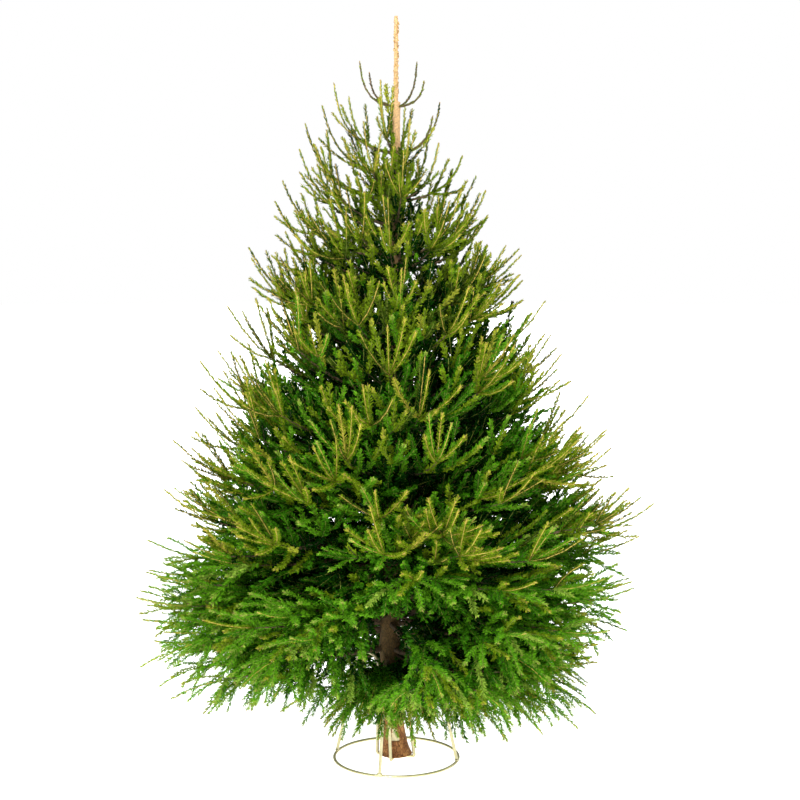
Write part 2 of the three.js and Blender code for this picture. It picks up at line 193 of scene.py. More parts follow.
# Smaller limbs between the whorls, as a share of the lower whorl's arms
BETWEEN_SHARES = {2: 0.34, 3: 1.0, 4: 1.25, 5: 1.15, 6: 1.15, 7: 1.25, 8: 1.2, 9: 1.2}
BETWEEN_REACH = (0.92, 1.0)
BETWEEN_HEIGHTS = (0.2, 0.8)
BETWEEN_TURNS = (-0.3, 0.3)
# Short limbs that droop from the foot of the crown over the stand
SKIRT_COUNT = 18
SKIRT_HEIGHTS = (-0.05, 0.04)
SKIRT_REACHES = (0.62, 1.15)
SKIRT_TURNS = (-0.25, 0.25)
SKIRT_HEIGHT = 0.30
SKIRT_REACH = 0.33
SKIRT_RISE = -0.15
SKIRT_BEND = -0.22
# Limbs of it whose sine of turn is below this start under the gap
SKIRT_FRONT = -0.8
# Limbs that are placed one by one: the whorl that they grow like, counted from 0, their rise and bend,
# and the turn in degrees, the height and the reach of each
LimbGroup = namedtuple("LimbGroup", "order rise bend limbs")
# These arch over the stand in front
FRONT_LIMBS = LimbGroup(9, -0.02, -0.35, (
    (243, 0.268, 0.31), (252, 0.270, 0.27), (259, 0.266, 0.31), (266, 0.270, 0.28), (273, 0.266, 0.31),
    (281, 0.270, 0.27), (290, 0.268, 0.31), (300, 0.266, 0.33), (311, 0.268, 0.35),
))
# These hang over the trunk's foot in front
CENTRE_LIMBS = LimbGroup(9, -0.03, -0.35, (
    (250, 0.222, 0.23), (262, 0.215, 0.21), (270, 0.225, 0.25), (279, 0.215, 0.21), (290, 0.222, 0.24),
))
# These reach out low on the side where the foot of the crown sags
LOW_LIMBS = LimbGroup(9, -0.13, -0.10, (
    (312, 0.31, 0.48), (322, 0.33, 0.53), (334, 0.32, 0.58), (347, 0.33, 0.60), (5, 0.32, 0.58),
))
# These fill the crown's sides under its widest layer
SIDE_LIMBS = LimbGroup(8, -0.02, 0.0, (
    (172, 0.50, 0.68), (184, 0.46, 0.70), (196, 0.50, 0.69), (208, 0.45, 0.69), (178, 0.40, 0.69),
    (192, 0.38, 0.68), (188, 0.43, 0.71), (176, 0.54, 0.71), (-10, 0.36, 0.60), (4, 0.33, 0.59),
    (-24, 0.36, 0.61), (14, 0.36, 0.58), (-34, 0.36, 0.62), (-29, 0.40, 0.62), (-18, 0.33, 0.61),
))
# These fill the widest layer, where its whorls stand far apart
MIDDLE_LIMBS = LimbGroup(7, 0.12, 0.30, (
    (-17, 0.760, 0.60), (1, 0.745, 0.63), (17, 0.775, 0.60), (38, 0.76, 0.60), (100, 0.76, 0.60),
    (195, 0.76, 0.58), (240, 0.75, 0.60),
))
# These close the crown just above its widest layer
CLOSING_LIMBS = LimbGroup(7, 0.12, 0.30, (
    (-35, 0.62, 0.52), (-50, 0.60, 0.45), (-6, 0.67, 0.60), (203, 0.62, 0.42), (232, 0.61, 0.34),
))
# These fill one side of the crown higher up
UPPER_LIMBS = LimbGroup(5, 0.12, 0.30, (
    (-9, 1.09, 0.37), (12, 1.12, 0.36), (-28, 1.12, 0.36), (2, 1.22, 0.37), (-18, 1.24, 0.37),
    (6, 0.97, 0.48), (-12, 0.95, 0.48), (22, 0.96, 0.47), (7, 1.29, 0.37), (-12, 1.31, 0.36),
))
# Short shoots that leave the trunk itself: between which heights, how far apart, how long and how steep
TRUNK_SHOOT_HEIGHTS = (0.70, 1.58)
LOW_SHOOT_HEIGHTS = (0.54, 0.70)
TRUNK_SHOOT_STEP = 0.013
TRUNK_SHOOT_LENGTH = (0.09, 0.19)
TRUNK_SHOOT_RISE = (0.5, 1.3)
TRUNK_SHOOT_PULL = 0.5
TRUNK_SHOOT_YEARS = 2
TRUNK_SHOOT_ORDER = 5
TRUNK_SHOOT_ROOT = 0.8
# Upright shoots close beside the trunk near its top: height, turn in degrees, length
UPRIGHT_SHOOTS = (
    (1.745, 235, 0.165), (1.60, 300, 0.150), (1.62, 20, 0.120), (1.585, 262, 0.190), (1.57, 285, 0.170),
    (1.54, 240, 0.200), (1.50, 275, 0.220), (1.46, 255, 0.220), (1.45, 295, 0.200), (1.56, 90, 0.180),
    (1.52, 130, 0.200), (1.49, 50, 0.210), (1.55, 190, 0.170), (1.53, 350, 0.180),
)
UPRIGHT_SHOOT_LEAN = 0.3
UPRIGHT_SHOOT_PULL = 0.6
UPRIGHT_SHOOT_ORDER = 3
GOLDEN_TURN = math.radians(137.5)

# The leader counts as a whorl of its own. Its needles grow along this many lengths of it, from a little
# above the topmost whorl to a little under its tip
LEADER_ORDER = -1
LEADER_SPANS = 4
LEADER_NEEDLES_START = 0.02
LEADER_NEEDLES_END = 0.016

# Needles cease on shoots this many years old, and on arms already at this age
BARE_AGE = 6
BARE_ARM_AGE = 5
# The bright young twigs are this many times as thick as the shoots in the shade. A twig is thicker with
# each year, and thins towards its tip
YOUNG_TWIG_WIDENING = 1.25
TWIG_YEAR_WIDENING = 0.16
TWIG_TIP = 0.72
TWIG_SIDES = 3
BOUGH_SIDES = 8
# Width of a bud as a share of its length, and where it starts, is widest and ends beside the shoot's tip
BUD_WIDTH = 0.52
BUD_START = -0.2
BUD_MIDDLE = 0.3
BUD_END = 0.8
# A piece of needles holds at most this many, at two faces each
MOST_NEEDLES = 95000
# How far needles stand off, and how long they are, whorl by whorl, and less on the outermost shoots
OPENNESS = (0.60, 0.70, 0.78, 0.80, 0.82, 0.84, 0.86, 0.90, 0.94, 0.96)
OUTERMOST_OPENNESS = 0.82
# Shoots of this many whorls at the top are whips, which all bear buds
WHIP_ORDERS = 2
# Needles deep in the crown are fewer, longer and wider: where that starts, over which depth it grows, and
# how great it is in the end. Older shoots are treated like deeper ones
INSIDE_START = 0.10
INSIDE_SPAN = 0.38
INSIDE_FEWER = 0.83
INSIDE_LONGER = 0.3
INSIDE_WIDER = 2.9
INSIDE_AGE = 3
INSIDE_YEARS = 4
LEAST_NEEDLES = 4
# Where a needle stands in its own step along a shoot, and how far round from its upper side, which is
# turned away from the trunk by a share. It leans away from the shoot by degrees, and by more at the sides
NEEDLE_STEPS = (0.1, 0.9)
NEEDLE_TURN = math.radians(144)
NEEDLE_OUTWARD = 0.6
NEEDLE_LEAN = 31
NEEDLE_SIDE_LEAN = 22
NEEDLE_LEAN_SPREAD = 6
NEEDLE_LENGTHS = (0.85, 1.1)
NEEDLE_SINK = 0.0009
# Needles are shorter and lean less from here to the tip of a shoot
NEAR_TIP = 0.86
NEAR_TIP_CHANGE = 0.35
# Width of a needle's tip as a share of its root's, and how far it is turned along its length
NEEDLE_POINT = 0.35
NEEDLE_TWIST = math.radians(75)
# A spray starts at the first of these shares of its shoot. Tips of bright sprays start at the second
SPRAY_START = 0.03
TIP_START = 0.88
# Depths in shade from which a spray counts as inside, as half way in, as without a bright tip or bud, and
# from which a twig isn't bright. Sprays inside and half way in get darker tones as painted shade
DEEP_SHADE = 0.42
HALF_SHADE = 0.25
TIP_SHADE = 0.3
TWIG_SHADE = 0.22

# Trunk mesh: sides, and how its rings are cut, foot first. Rings lie closer at the foot
TRUNK_SIDES = 72
TRUNK_CUTS = (14, 14)
FOOT_ZONE = 0.26
FOOT_ZONE_RINGS = 0.36
LEADER_START = 1.735
LEADER_WIDENING = 1.12
LEADER_SIDES = 16
LEADER_CUTS = (99,)
LEADER_END_GAP = 0.003
LEADER_OVERLAP = 0.004
SMOOTH_ANGLE = math.radians(60)
# Relief: the size of the trunk's unevenness, of its scales and of the leader's pegs, and the pegs' height
TRUNK_LUMPS = 0.060
TRUNK_SCALES = 0.011
LEADER_PEGS = 0.007
LEADER_RELIEF = 0.0024
# Above the foot the bark is painted darker and greener, as the crown's shade and the needles' green
# reflection, and near the top it turns tan: each from one height to another, by a share
BARK_SHADE_ZONE = (0.12, 0.30, 0.70)
BARK_SHADE_GREEN = (0.100, 0.090, 0.030)
BARK_TANS = (1.35, 1.70, 0.85)
# Bare wood: the cut under the foot, and a patch pared off its front that narrows upwards
FOOT_RIM = 0.004
FACING_DOWN = -0.9
PATCH_MIDDLE = 0.004
PATCH_HALF_WIDTH = 0.014
PATCH_NARROWING = 0.6
PATCH_LOW = 0.060
PATCH_HIGH = 0.096
PATCH_RIM = 0.001
PATCH_DEPTH = 0.0015

# Stand, in metres, with the CAD model's own numbers
CLEARANCE = 0.0003
WIRE_SIDES = 6
WIRE_COUNT = 4
WIRE_TURN = 75
WIRE_LEAN = 12.8
WIRE_HEIGHT = 0.262
INNER_TOP = 0.036
INNER_FOOT = 0.055
UNDER_END = 0.013
UNDER_BEND = 0.005
BEND_STEPS = 28
RING_SEGMENTS = 160
ROD_SEGMENTS = 16
WELD_SIZE = (0.0085, 0.0052, 0.0040)
WELD_LUMPS = 0.004
WELD_RELIEF = 0.0012

# Camera, as seen in the reference view
CAMERA_LENS = 73.56
CAMERA_SENSOR = 36
CAMERA_DISTANCE = 4.58
CAMERA_HEIGHT = 1.507
CAMERA_PITCH = 5.875
CAMERA_ASIDE = 0.0105
# Suns: how wide each is in degrees, and the direction that it stands in
SUNS = {
    "key": (16, (-0.36, -1.0, 1.05)),
    "front": (50, (0.25, -1.0, 0.08)),
    "fill": (60, (1.0, 0.5, 1.0)),
}
FLOOR_RADIUS = 30

MASK = 0xFFFFFFFF
UP = np.array([0.0, 0.0, 1.0])
ASIDE = np.array([1.0, 0.0, 0.0])
# Above this the upward part of a direction makes it steep, and it is measured against ASIDE instead of UP
STEEP = 0.85
# Too small to count as a length or a rise, and less than that
SLIGHT = 1e-6
SLIGHTEST = 1e-9


def tree_axis():
    """Where the tree's axis stands in the frame: at the middle of the stand's ring."""
    low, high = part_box("stand_ring")
    return np.array([(low.x + high.x) / 2, (low.y + high.y) / 2, 0.0])


AXIS = tree_axis()


def seeded(seed):
    """The same draws in the same order for the same seed, as in the CAD model."""
    state = seed & MASK

    def draw():
        nonlocal state
        state = (state + 0x6D2B79F5) & MASK
        mixed = ((state ^ (state >> 15)) * (state | 1)) & MASK
        mixed ^= (mixed + (((mixed ^ (mixed >> 7)) * (mixed | 61)) & MASK)) & MASK
        return ((mixed ^ (mixed >> 14)) & MASK) / 4294967296

    return draw


def between(random, low, high):
    return low + (high - low) * random()


def unit(vector):
    return vector / math.sqrt(vector @ vector)


# Rule of growth, shared with the CAD model

def trunk_radius(height):
    top = WHORLS[0].height
    if height > top + SWELLING_SPAN:
        share = (height - top) / (TREE_HEIGHT - top)
        return LEADER_RADIUS + (LEADER_TIP_RADIUS - LEADER_RADIUS) * share
    taper = TRUNK_RADIUS_LOW + (TRUNK_RADIUS_TOP - TRUNK_RADIUS_LOW) * (height / top)
    flare = FLARE_WIDTH * math.exp(-(height - FOOT_HEIGHT) / FLARE_DEPTH)
    swell = max(math.exp(-((height - whorl.height) / SWELLING_SPAN) ** 2) for whorl in WHORLS)
    return taper * (1 + SWELLING * swell) + flare


def trunk_bow(height):
    share = height / BOW_HEIGHT
    return -BOW_WIDTH * share * math.exp(1 - share)


def trunk_centre(height):
    return np.array([trunk_bow(height), 0.0, height])


def layer_height(whorl, distance):
    share = distance / whorl.reach
    slope = whorl.rise / whorl.reach - whorl.bend
    return whorl.height + whorl.reach * (slope * share + whorl.bend * share * share)


def layer_point(whorl, x, y):
    return np.array([x, y, layer_height(whorl, math.hypot(x, y))])


def layer_top(order, distance):
    """Half way from a layer up to the next one, less the margin."""
    if order == 0:
        return math.inf
    own = layer_height(WHORLS[order], distance)
    return (own + layer_height(WHORLS[order - 1], distance)) / 2 - SPACE_MARGIN


ArmPlan = namedtuple("ArmPlan", "turned reach lift")


def mass_plan(order, index):
    """Azimuth of a mass, and where each of its arms ends."""
    whorl = WHORLS[order]
    random = seeded(SEED + 100 * order + index)
    sector = 2 * math.pi / whorl.masses
    azimuth = math.radians(whorl.turn) + sector * index
    spacing = layer_top(order, whorl.reach) - layer_height(whorl, whorl.reach)
    room = ARM_LIFT_SHARE * min(spacing, ARM_LIFT_ROOM)
    arms = []
    for arm in range(whorl.arms):
        place = arm - (whorl.arms - 1) / 2
        stray = between(random, -ARM_TURN_SPREAD, ARM_TURN_SPREAD)
        turned = azimuth + sector * (place / whorl.arms + stray)
        full = whorl.reach * (1 + whorl.skew * math.cos(turned))
        reach = full * between(random, ARM_LEAST_REACH, 1)
        lift = room * between(random, -1, 1)
        arms.append(ArmPlan(turned, reach, lift))
    return azimuth, arms


def arm_path(whorl, fork, plan, curl):
    """Point of an arm at a share of its way from the fork to its tip."""
    reach = plan.reach - NEEDLE_ROOM
    tip_x = trunk_bow(whorl.height) + reach * math.cos(plan.turned)
    tip_y = reach * math.sin(plan.turned)

    def place(share):
        return fork[0] + (tip_x - fork[0]) * share, fork[1] + (tip_y - fork[1]) * share

    def point(share):
        quarter = share * math.pi / 2
        out = share + curl * (math.sin(quarter) - share)
        risen = share + curl * (1 - math.cos(quarter) - share)
        height = layer_height(whorl, math.hypot(*place(risen))) + plan.lift * risen
        return np.array([*place(out), height])

    return point


# Finer growth, within the same reach

Shoot = namedtuple("Shoot", "points level age order ends")
Limb = namedtuple("Limb", "points radii")


def crown_outline():
    """Heights and radii of the crown's outline, from the foot up, through the tips of the whorls."""
    tips = [(whorl.height + whorl.rise, whorl.reach) for whorl in reversed(WHORLS)]
    return FOOT_OUTLINE + tips + TOP_OUTLINE


OUTLINE_HEIGHTS, OUTLINE_RADII = (np.array(column) for column in zip(*crown_outline()))


def crown_radius(point):
    return float(np.interp(point[2], OUTLINE_HEIGHTS, OUTLINE_RADII))


def in_gap(point):
    """True in the gap at the front, which narrows towards the trunk."""
    ahead = -point[1]
    half = GAP_HALF_WIDTH * (GAP_WIDTH_AT_TRUNK + ahead)
    low = GAP_LOW + GAP_LOW_CLIMB * ahead
    high = GAP_HIGH + GAP_HIGH_CLIMB * ahead
    return ahead > GAP_START and abs(point[0] - GAP_MIDDLE) < half and low < point[2] < high


def clear_of_gap(points):
    return not any(in_gap(point) for point in points)


def floor_height(point):
    """Least height of a tip that stands over or under a point."""
    out = math.hypot(point[0], point[1])
    turned = math.atan2(point[1], point[0])
    climb = FLOOR_CLIMB * max(0.0, out - FLOOR_CLIMB_FROM)
    climb += FRONT_CLIMB * max(0.0, -point[1] - FRONT_CLIMB_FROM)
    spread = min(1.0, out / FLOOR_CLIMB_FROM)
    uneven = FLOOR_WAVE * math.sin(FLOOR_WAVES * turned) - SAG * math.cos(turned - SAG_TURN)
    return FLOOR_ROOM + climb + spread * uneven


def inside_crown(point):
    """True where a tip may end: inside the outline and the CAD model's box, and off the floor."""
    (low_x, low_y, _), (high_x, high_y, _) = CAD_BOX
    x, y, z = point + AXIS
    inside_width = low_x + NEEDLE_ROOM < x < high_x - NEEDLE_ROOM
    inside_depth = low_y + NEEDLE_ROOM < y < high_y - NEEDLE_ROOM
    inside_outline = math.hypot(point[0], point[1]) < crown_radius(point)
    return inside_width and inside_depth and inside_outline and z > floor_height(point)


def year_shares(years):
    """Ends of the yearly shoots of a limb, as shares of its length from the root outwards."""
    weights = [YEAR_WEIGHTS[min(age, len(YEAR_WEIGHTS) - 1)] for age in range(years)]
    ends = np.cumsum(weights[::-1])
    return np.concatenate([[0.0], ends / ends[-1]])


def spans_of(order):
    """Straight spans in which a year's growth is drawn."""
    return YEAR_SPANS * 2 if order < FINE_ORDERS else YEAR_SPANS


def add_shoot(shoots, points, level, age, order):
    """Adds a year's growth, cut where it has more spans than a shoot holds."""
    spans = len(points) - 1
    for start in range(0, spans, YEAR_SPANS):
        end = start + YEAR_SPANS
        shoots.append(Shoot(points[start:end + 1], level, age, order, end == spans))


def yearly(points_at, years, order):
    """A limb cut where one year's growth meets the next, with its youngest shoot turned up."""
    shares = year_shares(years)
    spans = spans_of(order)
    segments = []
    for start, end in zip(shares[:-1], shares[1:]):
        steps = np.linspace(start, end, spans + 1)
        segments.append(np.array([points_at(step) for step in steps]))
    youngest = segments[-1]
    rising = np.linspace(0, 1, spans + 1) ** 2 * TIP_LIFTS[order] * segment_length(youngest)
    youngest += UP * rising[:, None]
    return segments


def bent_limb(root, heading, length, years, pull, order):
    """A side limb that leaves its parent along a heading and turns towards a pull."""
    shares = year_shares(years)
    spans = spans_of(order)
    at = root
    segments = []
    for start, end in zip(shares[:-1], shares[1:]):
        points = [at]
        span = (end - start) / spans
        for _ in range(spans):
            heading = unit(heading + pull * span)
            at = at + heading * (length * span)
            points.append(at)
        segments.append(np.array(points))
    return segments


def segment_length(points):
    return float(np.linalg.norm(np.diff(points, axis=0), axis=1).sum())


def pull_of(order, root):
    """Which way side shoots turn: up on the upper whorls, out in the middle, down on the lowest."""
    outward = unit(np.array([root[0], root[1], 0.0]) + SLIGHT)
    out, rise = PULLS[order]
    return outward * out + UP * rise


def side_heading(ahead, angle, turn):
    """A heading at an angle from the one ahead. The turn is round it: 0 and 180 degrees are the sides."""
    side = np.cross(ahead, UP)
    side = unit(side if side @ side > SLIGHT else ASIDE)
    over = np.cross(side, ahead)
    across = side * math.cos(turn) + over * math.sin(turn)
    return ahead * math.cos(angle) + across * math.sin(angle)


def cluster_turns(level, order, random):
    """Turns of the side limbs that leave one node: on both sides, on its back and below."""
    turns = []
    for turn, chance in CLUSTERS[level]:
        if random() < chance * FULLNESS[order]:
            turns.append(math.radians(turn + between(random, -CLUSTER_SPREAD, CLUSTER_SPREAD)))
    return turns


def grow(segments, level, order, random, shoots):
    """Adds a limb's yearly shoots and, from each node, its side limbs."""
    years = len(segments)
    for age in range(years):
        add_shoot(shoots, segments[years - 1 - age], level, age, order)
    if level == MOST_LEVEL:
        return
    beyond = 0.0
    for age in range(1, years):
        outer = segments[years - age]
        beyond += segment_length(outer)
        node = outer[0]
        ahead = unit(outer[1] - outer[0])
        pull = pull_of(order, node)
        for turn in cluster_turns(level, order, random):
            upright = abs(math.sin(turn)) > UPRIGHT_SINE
            angle = math.radians(between(random, *SIDE_ANGLES))
            shares = LAST_NODE_SHARES if age == 1 else (UPRIGHT_SHARES if upright else SIDE_SHARES)
            length = min(beyond * between(random, *shares), UPRIGHT_MOST if upright else SIDE_MOST)
            side_years = max(1, min(age, round(length / YEAR_LENGTH)))
            add_side(node, side_heading(ahead, angle, turn), length, side_years, pull,
                     level, order, random, shoots)
    if order < SMALL_SIDES_FROM:
        return
    for age in range(min(years, len(SMALL_SIDE_COUNTS))):
        add_small_sides(segments[years - 1 - age], age, level, order, random, shoots)


def add_side(node, heading, length, years, pull, level, order, random, shoots):
    """A side limb, made shorter until its tip stays inside the crown."""
    for scale in SIDE_TRIES:
        limb = bent_limb(node, heading, length * scale, years, pull, order)
        if inside_crown(limb[-1][-1]) and clear_of_gap(np.concatenate(limb)):
            grow(limb, level + 1, order, random, shoots)
            return


def add_small_sides(segment, age, level, order, random, shoots):
    """Short shoots between two nodes."""
    if age == 0 and level > 0:
        return
    count = SMALL_SIDE_COUNTS[age] if level == 0 else 1
    pull = pull_of(order, segment[0])
    spans = len(segment) - 1
    for step in range(count):
        share = (step + between(random, *SMALL_SIDE_STARTS)) / count
        index = min(int(share * spans), spans - 1)
        at = segment[index] + (segment[index + 1] - segment[index]) * (share * spans - index)
        ahead = unit(segment[index + 1] - segment[index])
        turn = between(random, -math.pi, math.pi)
        length = between(random, *SMALL_SIDE_LENGTHS)
        limb = bent_limb(at, side_heading(ahead, SMALL_SIDE_ANGLE, turn), length, 1, pull, order)
        if inside_crown(limb[-1][-1]) and clear_of_gap(limb[0]):
            add_shoot(shoots, limb[0], MOST_LEVEL, min(age, 2), order)


def whorl_arms(order, index):
    """Woody part of one mass: the bough with its fork, and the path of each arm."""
    whorl = WHORLS[order]
    azimuth, arms = mass_plan(order, index)
    centre = trunk_centre(whorl.height)
    if whorl.bough == 0:
        return None, [arm_path(whorl, centre, plan, CURLS[order]) for plan in arms]
    fork_at = whorl.bough * whorl.reach + STEM_LENGTH
    points = []
    for distance in np.linspace(0, fork_at, BOUGH_POINTS):
        x = centre[0] + distance * math.cos(azimuth)
        points.append(layer_point(whorl, x, distance * math.sin(azimuth)))
    bough = Limb(np.array(points), np.linspace(BOUGH_ROOT_RADIUS, BOUGH_TIP_RADIUS, BOUGH_POINTS))
    return bough, [arm_path(whorl, points[-1], plan, CURLS[order]) for plan in arms]


def mixed_whorl(order, share):
    """A whorl between one and the next above it."""
    lower, upper = WHORLS[order], WHORLS[order - 1]
    values = [low + (high - low) * share for low, high in zip(lower, upper)]
    return Whorl(*values)


def room_towards(turned):
    """How far a limb may reach in a direction inside the CAD model's box."""
    (low_x, low_y, _), (high_x, high_y, _) = CAD_BOX
    ahead, aside = math.cos(turned), math.sin(turned)
    width = (high_x - AXIS[0]) if ahead > 0 else (AXIS[0] - low_x)
    depth = (high_y - AXIS[1]) if aside > 0 else (AXIS[1] - low_y)
    return min(width / max(abs(ahead), 0.001), depth / max(abs(aside), 0.001))


def between_arms(order):
    """Paths of the smaller limbs that leave the trunk between a whorl and the next above it."""
    random = seeded(BETWEEN_PATH_SEED + order)
    count = round(WHORLS[order].masses * WHORLS[order].arms * BETWEEN_SHARES[order])
    paths = []
    for index in range(count):
        whorl = mixed_whorl(order, between(random, *BETWEEN_HEIGHTS))
        turned = 2 * math.pi * (index + between(random, *BETWEEN_TURNS)) / count + order
        full = whorl.reach * (1 + whorl.skew * math.cos(turned))
        reach = min(full * between(random, *BETWEEN_REACH), room_towards(turned))
        plan = ArmPlan(turned, reach, 0.0)
        paths.append(arm_path(whorl, trunk_centre(whorl.height), plan, CURLS[order]))
    return paths


def placed_arm(turned, height, reach, rise, bend):
    """Path of a limb that is placed by itself, outside the whorls."""
    whorl = Whorl(height, reach, rise, bend, 0, 1, 1, 0, 0)
    return arm_path(whorl, trunk_centre(height), ArmPlan(turned, reach, 0.0), 0.0)


def skirt_arms():
    """Paths of the short drooping limbs at the foot of the crown."""
    random = seeded(SKIRT_SEED)
    paths = []
    for index in range(SKIRT_COUNT):
        height = SKIRT_HEIGHT + between(random, *SKIRT_HEIGHTS)
        reach = SKIRT_REACH * between(random, *SKIRT_REACHES)
        turned = 2 * math.pi * (index + between(random, *SKIRT_TURNS)) / SKIRT_COUNT
        if math.sin(turned) < SKIRT_FRONT:
            height = min(height, GAP_LOW)
        paths.append(placed_arm(turned, height, reach, SKIRT_RISE, SKIRT_BEND))
    return paths


def outward_at(turned):
    return np.array([math.cos(turned), math.sin(turned), 0.0])


def grow_trunk_shoots(heights, random, shoots):
    """Short rising shoots along the trunk, turned by the golden angle one from the next."""
    low, high = heights
    for step in range(round((high - low) / TRUNK_SHOOT_STEP)):
        height = low + step * TRUNK_SHOOT_STEP
        outward = outward_at(step * GOLDEN_TURN)
        heading = unit(outward + UP * between(random, *TRUNK_SHOOT_RISE))
        root = trunk_centre(height) + outward * trunk_radius(height) * TRUNK_SHOOT_ROOT
        length = between(random, *TRUNK_SHOOT_LENGTH)
        limb = bent_limb(root, heading, length, TRUNK_SHOOT_YEARS, UP * TRUNK_SHOOT_PULL, TRUNK_SHOOT_ORDER)
        grow(limb, MOST_LEVEL - 1, TRUNK_SHOOT_ORDER, random, shoots)


def grow_upright_shoots(shoots):
    """Single shoots that stand up close beside the trunk near its top."""
    for height, turn, length in UPRIGHT_SHOOTS:
        outward = outward_at(math.radians(turn))
        root = trunk_centre(height) + outward * trunk_radius(height)
        heading = unit(UP + outward * UPRIGHT_SHOOT_LEAN)
        limb = bent_limb(root, heading, length, 1, UP * UPRIGHT_SHOOT_PULL, UPRIGHT_SHOOT_ORDER)
        add_shoot(shoots, limb[0], MOST_LEVEL, 0, UPRIGHT_SHOOT_ORDER)


def grow_leader(shoots):
    """The leader's own few needles, on its path above the topmost whorl."""
    low = WHORLS[0].height + LEADER_NEEDLES_START
    heights = np.linspace(low, TREE_HEIGHT - LEADER_NEEDLES_END, LEADER_SPANS * YEAR_SPANS + 1)
    for start in range(0, LEADER_SPANS * YEAR_SPANS, YEAR_SPANS):
        points = [trunk_centre(height) for height in heights[start:start + YEAR_SPANS + 1]]
        add_shoot(shoots, np.array(points), 0, 0, LEADER_ORDER)


def grow_arm(path, order, random, from_trunk, shoots, limbs):
    """An arm with all that grows from it, unless it would cross the gap."""
    tip = path(1)
    lift = max(0.0, floor_height(tip) + ARM_TIP_ROOM - tip[2])

    def held_up(share):
        return path(share) + UP * (lift * share * share)

    course = np.array([held_up(share) for share in np.linspace(0, 1, ARM_CHECKS)])
    if not clear_of_gap(course):
        return
    length = segment_length(course)
    years = max(1, min(order + 1, round(length / YEAR_LENGTH)))
    segments = yearly(held_up, years, order)
    grow(segments, 0, order, random, shoots)
    limbs.append(arm_limb(segments, from_trunk))


def arm_limb(segments, from_trunk):
    """Wood of an arm, thinning towards the start of its youngest shoot."""
    wood = segments[:-1] if len(segments) > 1 else segments
    points = np.concatenate([wood[0][:1]] + [segment[1:] for segment in wood])
    root = ARM_ROOT_RADIUS + ARM_YEAR_RADIUS * len(segments) + (0.0 if from_trunk else ARM_FORK_RADIUS)
    return Limb(points, np.linspace(root, ARM_TIP_RADIUS, len(points)))


def grow_groups(groups, random, shoots, limbs):
    """The limbs that are placed one by one."""
    for group in groups:
        for turn, height, reach in group.limbs:
            path = placed_arm(math.radians(turn), height, reach, group.rise, group.bend)
            grow_arm(path, group.order, random, True, shoots, limbs)


def grow_tree():
    """All shoots and woody limbs of the tree."""
    shoots = []
    limbs = []
    for order, whorl in enumerate(WHORLS):
        for index in range(whorl.masses):
            random = seeded(MASS_SEED + 100 * order + index)
            bough, arms = whorl_arms(order, index)
            if bough is not None:
                limbs.append(bough)
            for path in arms:
                grow_arm(path, order, random, bough is None, shoots, limbs)
    for order in BETWEEN_SHARES:
        random = seeded(BETWEEN_SEED + order)
        for path in between_arms(order):
            grow_arm(path, order, random, True, shoots, limbs)
    random = seeded(LOW_SEED)
    for path in skirt_arms():
        grow_arm(path, LAST_ORDER, random, True, shoots, limbs)
    grow_groups((FRONT_LIMBS, LOW_LIMBS, MIDDLE_LIMBS), random, shoots, limbs)
    grow_trunk_shoots(TRUNK_SHOOT_HEIGHTS, random, shoots)
    grow_upright_shoots(shoots)
    grow_leader(shoots)
    random = seeded(SIDE_SEED)
    grow_groups((SIDE_LIMBS, CLOSING_LIMBS, CENTRE_LIMBS), random, shoots, limbs)
    grow_trunk_shoots(LOW_SHOOT_HEIGHTS, random, shoots)
    grow_groups((UPPER_LIMBS,), random, shoots, limbs)
    return shoots, limbs


# Meshes from arrays

def mesh_piece(name, points, face_sets, material, smooth=False):
    """An object from points and from sets of faces, each set with as many corners a face."""
    corners = np.concatenate([faces.ravel() for faces in face_sets]).astype(np.int32)
    sizes = np.concatenate([np.full(len(faces), faces.shape[1]) for faces in face_sets])
    starts = np.concatenate([[0], np.cumsum(sizes)[:-1]]).astype(np.int32)
    mesh = bpy.data.meshes.new(name)
    mesh.vertices.add(len(points))
    mesh.vertices.foreach_set("co", (points + AXIS).astype(np.float32).ravel())
    mesh.loops.add(len(corners))
    mesh.loops.foreach_set("vertex_index", corners)
    mesh.polygons.add(len(sizes))
    mesh.polygons.foreach_set("loop_start", starts)
    mesh.polygons.foreach_set("use_smooth", np.full(len(sizes), smooth))
    mesh.update(calc_edges=True)
    mesh.materials.append(material)
    piece = bpy.data.objects.new(name, mesh)
    bpy.context.scene.collection.objects.link(piece)
    return piece


def cross_frames(paths):
    """Directions across and over each point of many paths of like length."""
    ahead = np.gradient(paths, axis=1)
    ahead /= np.linalg.norm(ahead, axis=2, keepdims=True)
    steep = np.abs(ahead[:, 0, 2]) > STEEP
    guide = np.where(steep[:, None], ASIDE, UP)[:, None, :]
    across = np.cross(ahead, guide)
    across /= np.linalg.norm(across, axis=2, keepdims=True)
    return across, np.cross(across, ahead)


def tubes(paths, radii, sides):
    """Closed tapering tubes along many paths of like length."""
    count, rings, _ = paths.shape
    across, over = cross_frames(paths)
    angles = np.arange(sides) * (2 * math.pi / sides)
    ring = across[:, :, None, :] * np.cos(angles)[:, None] + over[:, :, None, :] * np.sin(angles)[:, None]
    points = paths[:, :, None, :] + ring * radii[:, :, None, None]
    base = (np.arange(count) * rings * sides)[:, None, None]
    row = (np.arange(rings - 1) * sides)[None, :, None]
    column = np.arange(sides)[None, None, :]
    following = (column + 1) % sides
    quads = np.stack([base + row + column, base + row + following,
                      base + row + sides + following, base + row + sides + column], axis=-1)
    first = base[:, :, 0] + np.arange(sides)[::-1]
    last = base[:, :, 0] + (rings - 1) * sides + np.arange(sides)
    return points.reshape(-1, 3), [quads.reshape(-1, 4), first, last]


def joined(parts):
    """Several sets of points and faces as one."""
    points = []
    faces = {}
    offset = 0
    for part_points, face_sets in parts:
        for face_set in face_sets:
            faces.setdefault(face_set.shape[1], []).append(face_set + offset)
        points.append(part_points)
        offset += len(part_points)
    return np.concatenate(points), [np.concatenate(sets) for sets in faces.values()]


# Needles

